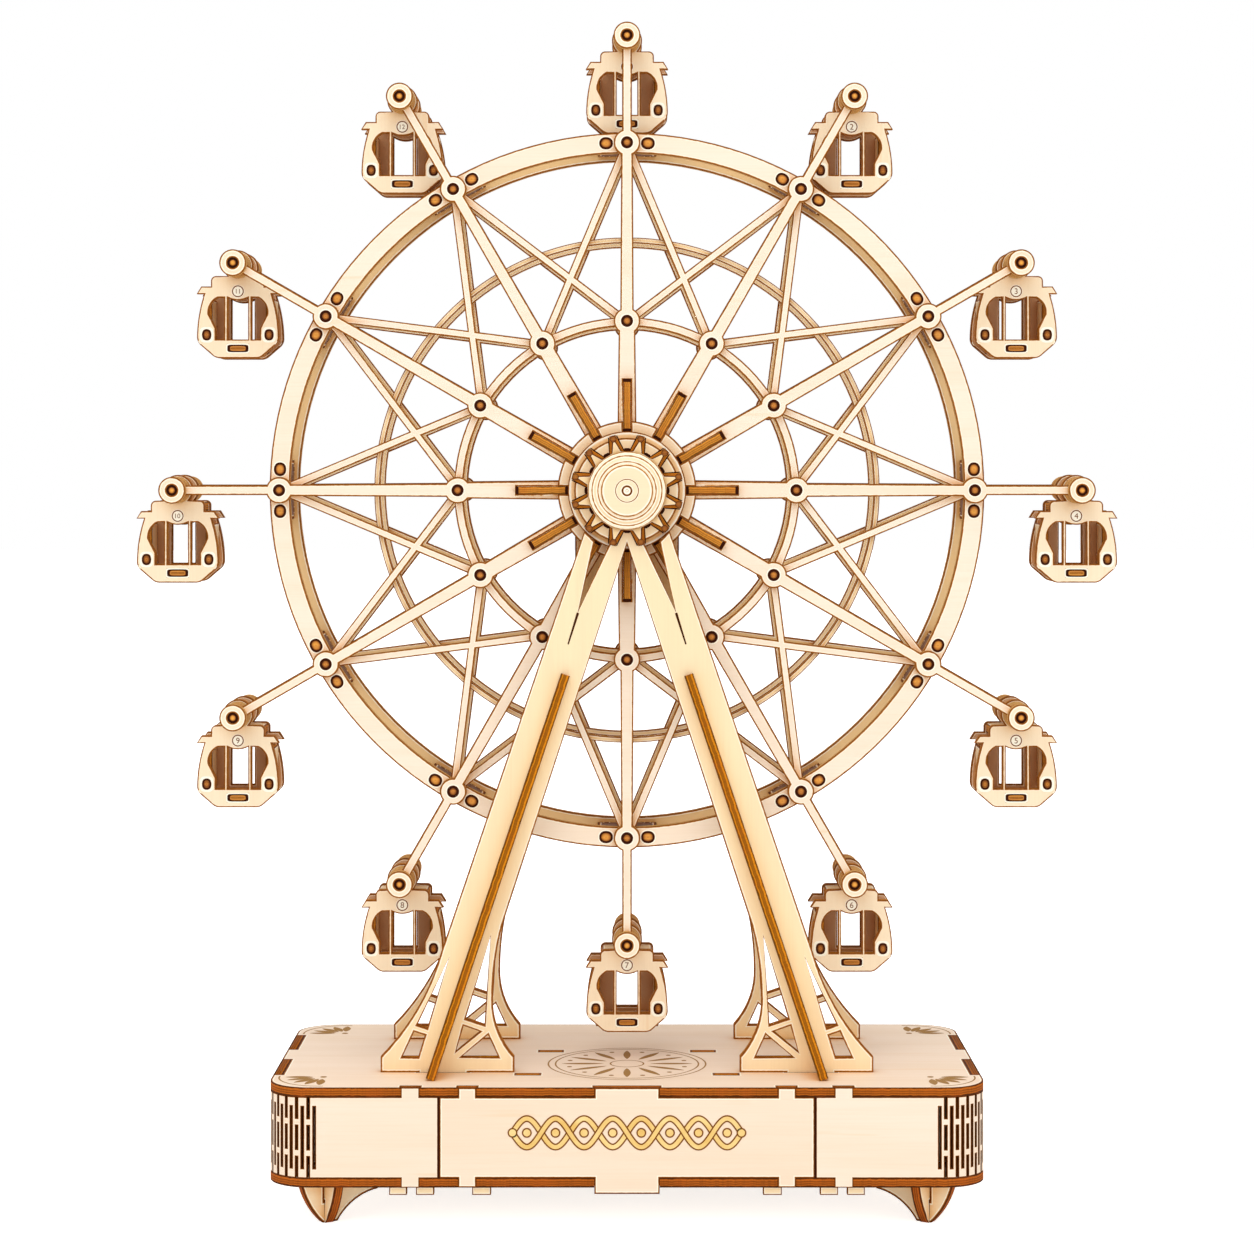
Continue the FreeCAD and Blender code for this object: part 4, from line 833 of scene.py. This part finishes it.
def makeAxle():
    # the front end is sanded flush with the cap and ringed by a burnt line; the rear end is sawn
    half = lengthOf("axle") / 2
    centre = Vector((hub.x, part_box("axle")[0].y + half * mm, hub.z))
    shape = newShape()
    rear = [(1.5, 0.0, 0.0), (1.5, half - 0.12, 0.0), (1.38, half, 0.6), (0.3, half, 0.0), (0, half, 0.0)]
    lathe(shape, rear, centre, 1, 32)
    lathe(shape, [(1.5, 0.0, 0.0), (1.5, half, 0.5)], centre, -1, 32)
    shown = [(1.5, half, 0.5), (1.42, half, 0.7), (1.25, half - 0.05, 0.9), (1.05, half, 0.7),
             (0.9, half, 0.4), (0.5, half, 0.3), (0.36, half - 0.04, 0.62), (0.2, half, 0.35), (0, half, 0.3)]
    for face in lathe(shape, shown, centre, -1, 32):
        face.material_index = 1
    bmesh.ops.remove_doubles(shape[0], verts=shape[0].verts[:], dist=1e-6)
    newPiece("axleDowel", shape, [dowel, veneer], "axle")


def makeCrank():
    place = jointPlace["crank_knob_spin"]
    length = lengthOf("crank_pin")
    pin = [(0, 0, 0.2), (1.3, 0.0, 0.6), (1.5, 0.15, 0.2), (1.5, length - 0.9, 0.2), (2.3, length - 0.9, 0.4),
           (2.6, length - 0.7, 0.2), (2.6, length - 0.35, 0.1), (2.2, length - 0.08, 0.0), (1.2, length, 0.0),
           (0, length, 0.0)]
    makeTurned("crankPinTurned", "crank_pin", dowel, pin, place)
    length = lengthOf("crank_knob")
    knob = [(1.56, 0.0, 0.6), (3.1, 0.0, 0.5), (3.3, 0.25, 0.0), (3.4, 1.4, 0.0), (3.45, 1.7, 0.5),
            (3.32, 1.9, 0.8), (3.55, 2.1, 0.5), (3.7, 2.6, 0.0), (4.05, 4.2, 0.0), (4.32, 5.8, 0.0),
            (4.5, 7.6, 0.0), (4.5, 9.0, 0.0), (4.4, 9.2, 0.7), (4.5, 9.4, 0.0), (4.5, length - 1.2, 0.0),
            (4.3, length - 0.6, 0.0), (3.9, length - 0.2, 0.0), (3.3, length, 0.0), (1.8, length, 0.1),
            (1.56, length, 0.6), (1.56, 0.0, 0.6)]
    makeTurned("crankKnobTurned", "crank_knob", veneer, knob, place, segments=56, warmth=0.6, tone=0.5)


makeFrontCap()
makeRods()
makeAxle()
makeCrank()
print("turned parts made")


# Pins and tab ends that show in the faces.

# half lengths, the width of the charred ring and of the pale wood round the hole in mm, how dark the
# domed middle is, and how square the end and the pale wood are
pinLooks = {
    "eyelet": {"half": (1.7, 1.7), "ring": 0.8, "pale": 0.34, "burn": 0.3, "power": 2.0, "palePower": 2.2},
    "rimTab": {"half": (1.92, 1.72), "ring": 0.6, "pale": 0.34, "burn": 0.1, "power": 2.2, "palePower": 2.2},
    "cabinTab": {"half": (1.32, 1.6), "ring": 0.55, "pale": 0.62, "burn": 0.4, "power": 2.3,
                 "palePower": 3.4},
}
# mm from the axle, and from the middle plane of the wheel
wheelPins = {"eyelets": (46.8, 96.1), "spokeFace": 15.7, "rimFace": 13.2}


def pinEnd(shape, centre, outward, look, turn=0.0):
    # a pin in its hole: pale wood, charred ring and amber dome, lighter towards its middle as a painted highlight;
    # uses materials 0 dowel and 1 veneer
    a, b = look["half"]
    ring, pale, burn = look["ring"], look["pale"], look["burn"]
    ringStack(shape, centre, outward, [
        (a + pale, b + pale, 0.0, 0.12), (a + pale, b + pale, 0.02, 0.2),
        (a + pale * 0.6, b + pale * 0.6, 0.03, 0.4),
        (a - 0.1, b - 0.1, 0.03, 0.4)], turn, look["palePower"], 36, 1)
    inA, inB = a - ring, b - ring
    ringStack(shape, centre, outward, [
        (a, b, 0.0, 0.5), (a, b, 0.06, 0.52), (a - 0.16, b - 0.16, 0.06, 0.95),
        (a - ring * 0.8, b - ring * 0.8, 0.06, 0.95), (inA, inB, 0.07, 0.62),
        (inA * 0.62, inB * 0.62, 0.16, burn + 0.15), (inA * 0.3, inB * 0.3, 0.21, burn),
        (0, 0, 0.22, burn + 0.2)], turn, look["power"])


def makeWheelPins():
    pins, tabs = newShape(), newShape()
    for outward in (-1, 1):
        for number in range(12):
            for place in wheelPins["eyelets"]:
                centre = spokePoint(place, 0, number, outward * wheelPins["spokeFace"])
                pinEnd(pins, centre, outward, pinLooks["eyelet"])
            for side in (-1, 1):
                centre = rimTab(number, side, outward * wheelPins["rimFace"])
                pinEnd(tabs, centre, outward, pinLooks["rimTab"], math.radians(30 * number))
    newPiece("eyeletPins", pins, [dowel, veneer], body="wheel")
    newPiece("rimTabEnds", tabs, [dowel, veneer], body="wheel")


makeWheelPins()
print("pins set")


# Dark spots round the hub: painted shadow in the valleys of the star, marks at its tips and lines beside its
# teeth, and both ends of each gusset's slot.

# radii and half sizes in mm; flank has the corners of the line beside a tooth: radius, place across
# and turn in twelfths
hubSpots = {
    "valley": 11.2, "valleyHalf": (0.85, 0.42), "tip": 14.55, "tipHalf": 0.95,
    "tipLevels": ((1, 0, 0.8), (1, 0.04, 0.8), (0.72, 0.05, 0.58), (0, 0.05, 0.5)),
    "flank": ((10.9, 0.95, 0), (10.9, 0.65, 0), (15.3, -1.3, 0.5), (15.3, -1.0, 0.5)),
    "gussetEnds": (30.3, 16.6), "gussetHalf": (1.12, 0.45), "lift": 0.04,
}


def hubSpot(shape, radius, number, half, y, power):
    lift = hubSpots["lift"]
    centre = spokePoint(radius, 0, number, y / mm)
    ringStack(shape, centre, -1, [(*half, 0.0, 1.0), (*half, lift, 1.0), (0, 0, lift, 1.0)],
              math.radians(30 * number), power, 20)


def makeHubSpots():
    look = hubSpots
    tipFace, headFace = (corner.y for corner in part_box("front_star"))
    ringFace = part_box("front_hub_ring")[0].y
    stand, drum = newShape(), newShape()
    for number in range(12):
        # painted shadow: a dark spot in each valley of the star, where the gap beside the cap lies in shade
        hubSpot(stand, look["valley"], number, look["valleyHalf"], headFace, 3.5)
        ringStack(stand, spokePoint(look["tip"], 0, number + 0.5, tipFace / mm), -1,
                  [(look["tipHalf"] * share, look["tipHalf"] * share, lift, scorch)
                   for share, lift, scorch in look["tipLevels"]], power=2, steps=20)
        for side in (-1, 1):
            corners = [spokePoint(radius, side * across, number + side * turn, headFace / mm - look["lift"])
                       for radius, across, turn in look["flank"]]
            addPatch(stand, corners, Vector((0, -1, 0)), 0.9)
        for radius in look["gussetEnds"]:
            hubSpot(drum, radius, number, look["gussetHalf"], ringFace, 5)
    newPiece("starShadowsAndMarks", stand, [dowel], body="base")
    newPiece("gussetSlotEnds", drum, [dowel], body="wheel")


makeHubSpots()
print("hub burns set")


# Cabin trim: tab ends, and a ring with the cabin's number.

# mm from the pivot and half sizes; floorBar is the amber part of the floor's tab
cabinTrim = {"face": 7.0, "floorHalf": (2.95, 1.05), "floorBar": (2.2, 0.7), "floorPale": 0.35,
             "ringDrop": 7.25, "ringRadius": 1.5, "ringPale": 0.4, "ringLine": 0.3,
             "numberHeight": 1.7, "twoFigures": 0.8, "lift": 0.04}


def numberOutline(text, height):
    # the built-in font's plain figures as a flat mesh, centred, in mm
    curve = bpy.data.curves.new("figures", "FONT")
    curve.body = text
    curve.size = height * 1.35
    curve.align_x = "CENTER"
    curve.align_y = "CENTER"
    holder = addToScene("figures", curve)
    bpy.context.view_layer.update()
    mesh = bpy.data.meshes.new_from_object(holder.evaluated_get(bpy.context.evaluated_depsgraph_get()))
    points = [vert.co.copy() for vert in mesh.vertices]
    faces = [list(poly.vertices) for poly in mesh.polygons]
    bpy.data.objects.remove(holder)
    bpy.data.curves.remove(curve)
    bpy.data.meshes.remove(mesh)
    xs, ys = [p.x for p in points], [p.y for p in points]
    middle = Vector(((min(xs) + max(xs)) / 2, (min(ys) + max(ys)) / 2, 0))
    return [p - middle for p in points], faces


def addFloorTab(shape, spot, outward):
    a, b = cabinTrim["floorHalf"]
    inA, inB = cabinTrim["floorBar"]
    pale = cabinTrim["floorPale"]
    ringStack(shape, spot, outward, [(a + pale, b + pale, 0.0, 0.2), (a + pale, b + pale, 0.02, 0.2),
                                     (a, b, 0.02, 0.45)], power=6, steps=40, material=1)
    ringStack(shape, spot, outward, [(a, b, 0.0, 1.0), (a, b, 0.04, 1.0), (inA + 0.1, inB + 0.1, 0.04, 0.9),
                                     (inA, inB, 0.05, 0.6), (inA * 0.9, 0.5, 0.08, 0.25),
                                     (inA * 0.85, 0.12, 0.08, 0.6)], power=4.5, steps=40)


def addMedallion(shape, centre, number):
    # a pale disc, then the engraved ring and figures in material 2
    radius, pale, half = cabinTrim["ringRadius"], cabinTrim["ringPale"], cabinTrim["ringLine"] / 2
    lift = cabinTrim["lift"]
    disc = [(radius + pale, 0.0, 0.1), (radius + pale, 0.02, 0.1), (radius, 0.02, 0.4), (0, 0.02, 0.4)]
    circle = [(radius + half, lift, 1.0), (radius - half, lift, 1.0)]
    for levels, steps, material in ((disc, 36, 1), (circle, 40, 2)):
        ringStack(shape, centre, -1, [(r, r, height, scorch) for r, height, scorch in levels],
                  power=2, steps=steps, material=material)
    height = cabinTrim["numberHeight"] * (1 if number < 10 else cabinTrim["twoFigures"])
    points, faces = numberOutline(str(number), height)
    verts = [newVert(shape, centre + Vector((point.x, -lift, point.y)) * mm, Vector(), scorch=1.0)
             for point in points]
    for corners in faces:
        face = shape[0].faces.new([verts[index] for index in corners])
        face.material_index = 2
        face.normal_update()
        if face.normal.y > 0:
            face.normal_flip()


def makeCabinTrim():
    look = cabinTrim
    for number in range(1, 13):
        body = f"gondola_{number:02d}"
        pivot = jointPlace[body + "_swing"]
        shape = newShape()
        for outward in (-1, 1):
            face = Vector((pivot.x, outward * look["face"] * mm, pivot.z))
            for side in (-1, 1):
                spot = face + Vector((side * tabEnds["cabinOffset"], 0, -tabEnds["cabinDrop"])) * mm
                pinEnd(shape, spot, outward, pinLooks["cabinTab"])
            addFloorTab(shape, face - Vector((0, 0, tabEnds["floorDrop"])) * mm, outward)
        addMedallion(shape, Vector((pivot.x, -look["face"] * mm, pivot.z - look["ringDrop"] * mm)), number)
        newPiece(f"cabinTrim{number:02d}", shape, [dowel, veneer, engraved], body=body)


makeCabinTrim()
print("cabins trimmed")


# Engraved ornament on the deck and the front panel, of plain generic shapes.

deckOrnament = {
    "centre": (0.0, -13.0), "ringRadii": (21.8, 19.8, 4.6), "ringLine": 0.42, "petals": 12,
    "petalFrom": 6.4, "petalTo": 18.2, "petalHalf": 1.0, "dotRadius": 0.7, "dotPlace": 16.4,
    "cornerInset": 14.0, "cornerArc": 12.0, "cornerSpan": 50, "cornerDot": 0.9, "leaves": 5, "leafTurn": 22,
    "leafFrom": 2.8, "leafTo": 10.4, "leafHalf": 1.15, "lift": 0.03, "depth": 0.75,
}
panelOrnament = {
    "width": 61.0, "height": 7.6, "waves": 4, "band": 1.1, "outline": 0.36, "middleZ": 26.0, "lift": 0.05,
    "dotRadius": 0.95,
}


def onCircle(steps):
    return [2 * math.pi * step / steps for step in range(steps)]


def makeDeckOrnament():
    look = deckOrnament
    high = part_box("deck_plate")[1]
    shape = newShape()

    def patch(centre, points):
        points = [centre + Vector((x, y, 0)) * mm for x, y in points]
        addPatch(shape, points, Vector((0, 0, 1)), look["depth"])

    def band(centre, radius, start=0.0, end=360.0, steps=96):
        half = look["ringLine"] / 2
        count = max(4, int(steps * (end - start) / 360))
        for step in range(count):
            a, b = (math.radians(start + (end - start) * (step + k) / count) for k in (0, 1))
            patch(centre, [(math.cos(t) * r, math.sin(t) * r) for t, r in (
                (a, radius + half), (b, radius + half), (b, radius - half), (a, radius - half))])

    def petal(centre, angle, start, end, half, steps=12):
        side = [(start + (end - start) * step / steps, half * math.sin(math.pi * step / steps) ** 0.8)
                for step in range(steps + 1)]
        cos, sin = math.cos(angle), math.sin(angle)
        patch(centre, [(cos * r - sin * w, sin * r + cos * w)
                       for r, w in side + [(r, -w) for r, w in side[-2:0:-1]]])

    def dot(centre, radius):
        patch(centre, [(math.cos(t) * radius, math.sin(t) * radius) for t in onCircle(16)])

    top = high.z + look["lift"] * mm
    middle = Vector((look["centre"][0] * mm, look["centre"][1] * mm, top))
    for radius in look["ringRadii"]:
        band(middle, radius)
    for angle in onCircle(look["petals"]):
        petal(middle, angle, look["petalFrom"], look["petalTo"], look["petalHalf"])
        between = angle + math.pi / look["petals"]
        beside = Vector((math.cos(between), math.sin(between), 0)) * look["dotPlace"] * mm
        dot(middle + beside, look["dotRadius"])
    inset = look["cornerInset"] * mm
    for sideX in (-1, 1):
        for sideY in (-1, 1):
            corner = Vector((sideX * (high.x - inset), sideY * (high.y - inset), top))
            out = math.degrees(math.atan2(sideY, sideX))
            band(corner, look["cornerArc"], out - look["cornerSpan"], out + look["cornerSpan"])
            for leaf in range(look["leaves"]):
                angle = math.radians(out + (leaf - (look["leaves"] - 1) / 2) * look["leafTurn"])
                petal(corner, angle, look["leafFrom"], look["leafTo"], look["leafHalf"])
            dot(corner, look["cornerDot"])
    newPiece("deckEngraving", shape, [engraved], body="base")


def makePanelOrnament():
    # two waves that cross, with a dot in each eye
    look = panelOrnament
    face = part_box("front_panel")[0].y
    shape = newShape()
    steps = 160

    def patch(points, lift, scorch):
        base = Vector((0, face - lift * mm, look["middleZ"] * mm))
        addPatch(shape, [base + Vector((x, 0, z)) * mm for x, z in points], Vector((0, -1, 0)), scorch)

    def ribbon(phase, half, lift, scorch):
        edges = []
        for step in range(steps + 1):
            share = step / steps
            angle = 2 * math.pi * look["waves"] * share + phase
            x, z = (share - 0.5) * look["width"], math.sin(angle) * look["height"] / 2
            slope = math.cos(angle) * look["height"] * math.pi * look["waves"] / look["width"]
            away = Vector((-slope, 1)).normalized() * half
            edges.append(((x + away.x, z + away.y), (x - away.x, z - away.y)))
        for (a, b), (c, d) in zip(edges, edges[1:]):
            patch((a, c, d, b), lift, scorch)

    def disc(x, radius, lift, scorch):
        patch([(x + math.cos(t) * radius, math.sin(t) * radius) for t in onCircle(24)], lift, scorch)

    for index, phase in enumerate((0.0, math.pi)):
        lift = look["lift"] + index * 0.02
        ribbon(phase, look["band"] / 2 + look["outline"], lift, 1.0)
        ribbon(phase, look["band"] / 2, lift + 0.01, 0.0)
    eyes = look["waves"] * 2
    for place in [0] + [eye + 0.5 for eye in range(eyes)] + [eyes]:
        x = (place / eyes - 0.5) * look["width"]
        disc(x, look["dotRadius"] + look["outline"], look["lift"] + 0.03, 1.0)
        disc(x, look["dotRadius"], look["lift"] + 0.04, 0.0)
    newPiece("panelEngraving", shape, [engraved], body="base")


makeDeckOrnament()
makePanelOrnament()
print("ornament engraved")


# Lugs that lock the panels' tabs under the bottom plate, painted shadow in the seams, and thin slits in the forks.

lugs = {"places": ((61.1, 4.7), (53.9, 4.8), (38.8, 5.0)),      # middle and length across the front
        "setBack": 1.0, "depth": 2.5, "tall": 2.2, "line": 0.3, "warmth": 0.9, "burn": 0.8}
# points beside the axle and dropped from it, with the slit's half width there
forkSlit = {"top": (13.4, 33.4, 0.35), "end": (16.1, 42.0, 0.2), "lift": 0.03}
# painted shadow over the seams of the walls, and lines on the deck across the rear centre tab: place from the
# middle, half width
seamShadowsAndSlotLines = {"seam": 50.2, "seamHalf": 0.3, "tabHalf": 7.1, "tabLines": ((41.6, 0.7), (36.0, 1.0)),
             "lift": 0.03}
boxSides = ((4, 7, 6, 5), (0, 1, 2, 3), (0, 4, 5, 1), (1, 5, 6, 2), (2, 6, 7, 3), (3, 7, 4, 0))


def makeLugs():
    look = lugs
    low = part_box("bottom_plate")[0]
    front = low.y / mm + look["setBack"]
    shape = bm, layers = newShape()
    for side in (-1, 1):
        for middle, length in look["places"]:
            for start in (front, -front - look["depth"]):
                across = start + look["depth"] / 2
                verts = [bm.verts.new(Vector((side * middle + x * length / 2, across + y * look["depth"] / 2,
                                              low.z / mm - z * look["tall"])) * mm)
                         for z in (0, 1) for x, y in square]
                made = [bm.faces.new([verts[index] for index in loop]) for loop in boxSides]
                bmesh.ops.recalc_face_normals(bm, faces=made)
                for face in made:
                    face.material_index = 0 if abs(face.normal.y) > 0.9 else 1
                flat = [face for face in made if face.material_index == 0]
                scorchOutline(shape, flat, look["line"], look["line"])
    for vert in bm.verts:
        through = (vert.co.y / mm - front) % cutEdge["plyThickness"]
        vert[layers["sheetPlace"]] = Vector((vert.co.x / mm, vert.co.z / mm, through))
        for key in ("warmth", "burn"):
            vert[layers[key]] = look[key]
    newPiece("tabLugs", shape, [veneer, cutPly], body="base", crease=30)


def makeForkSlits():
    # a single pass of the laser from the bottom of each fork into the leg
    x0, z0, half0 = forkSlit["top"]
    x1, z1, half1 = forkSlit["end"]
    run = Vector((x1 - x0, z0 - z1)).normalized()
    across = Vector((-run.y, run.x))
    ends = [(x0, -z0, half0), (x0, -z0, -half0), (x1, -z1, -half1), (x1, -z1, half1)]
    shape = newShape()
    for face, outward in ((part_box("front_a_frame")[0].y, -1), (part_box("rear_a_frame")[1].y, 1)):
        for side in (-1, 1):
            y = face + outward * forkSlit["lift"] * mm
            addPatch(shape, [Vector((hub.x + side * (x + across.x * half) * mm, y,
                                     hub.z + (z + across.y * half) * mm)) for x, z, half in ends],
                     Vector((0, outward, 0)), 0.8)
    newPiece("forkSlits", shape, [dowel], body="base", crease=30)


def makeSeams():
    # painted shadow: dark lines over the gaps where the side walls meet the panels; and dark lines across the rear
    # centre tab's slot
    look = seamShadowsAndSlotLines
    lift = look["lift"] * mm
    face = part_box("front_panel")[0].y
    heights = (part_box("bottom_plate")[1].z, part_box("deck_plate")[0].z)
    shape = newShape()
    for y, outward in ((face, -1), (-face, 1)):
        for side in (-1, 1):
            addPatch(shape, [Vector(((side * look["seam"] + x * look["seamHalf"]) * mm, y + outward * lift,
                                     heights[z > 0])) for x, z in square], Vector((0, outward, 0)), 1.0)
    for back, half in look["tabLines"]:
        addPatch(shape, [Vector((x * look["tabHalf"] * mm, (back + y * half) * mm, deckTop + lift))
                         for x, y in square], Vector((0, 0, 1)), 0.9)
    newPiece("seamShadowsAndSlotLines", shape, [dowel], body="base", crease=30)


makeLugs()
makeForkSlits()
makeSeams()
print("small cuts made")
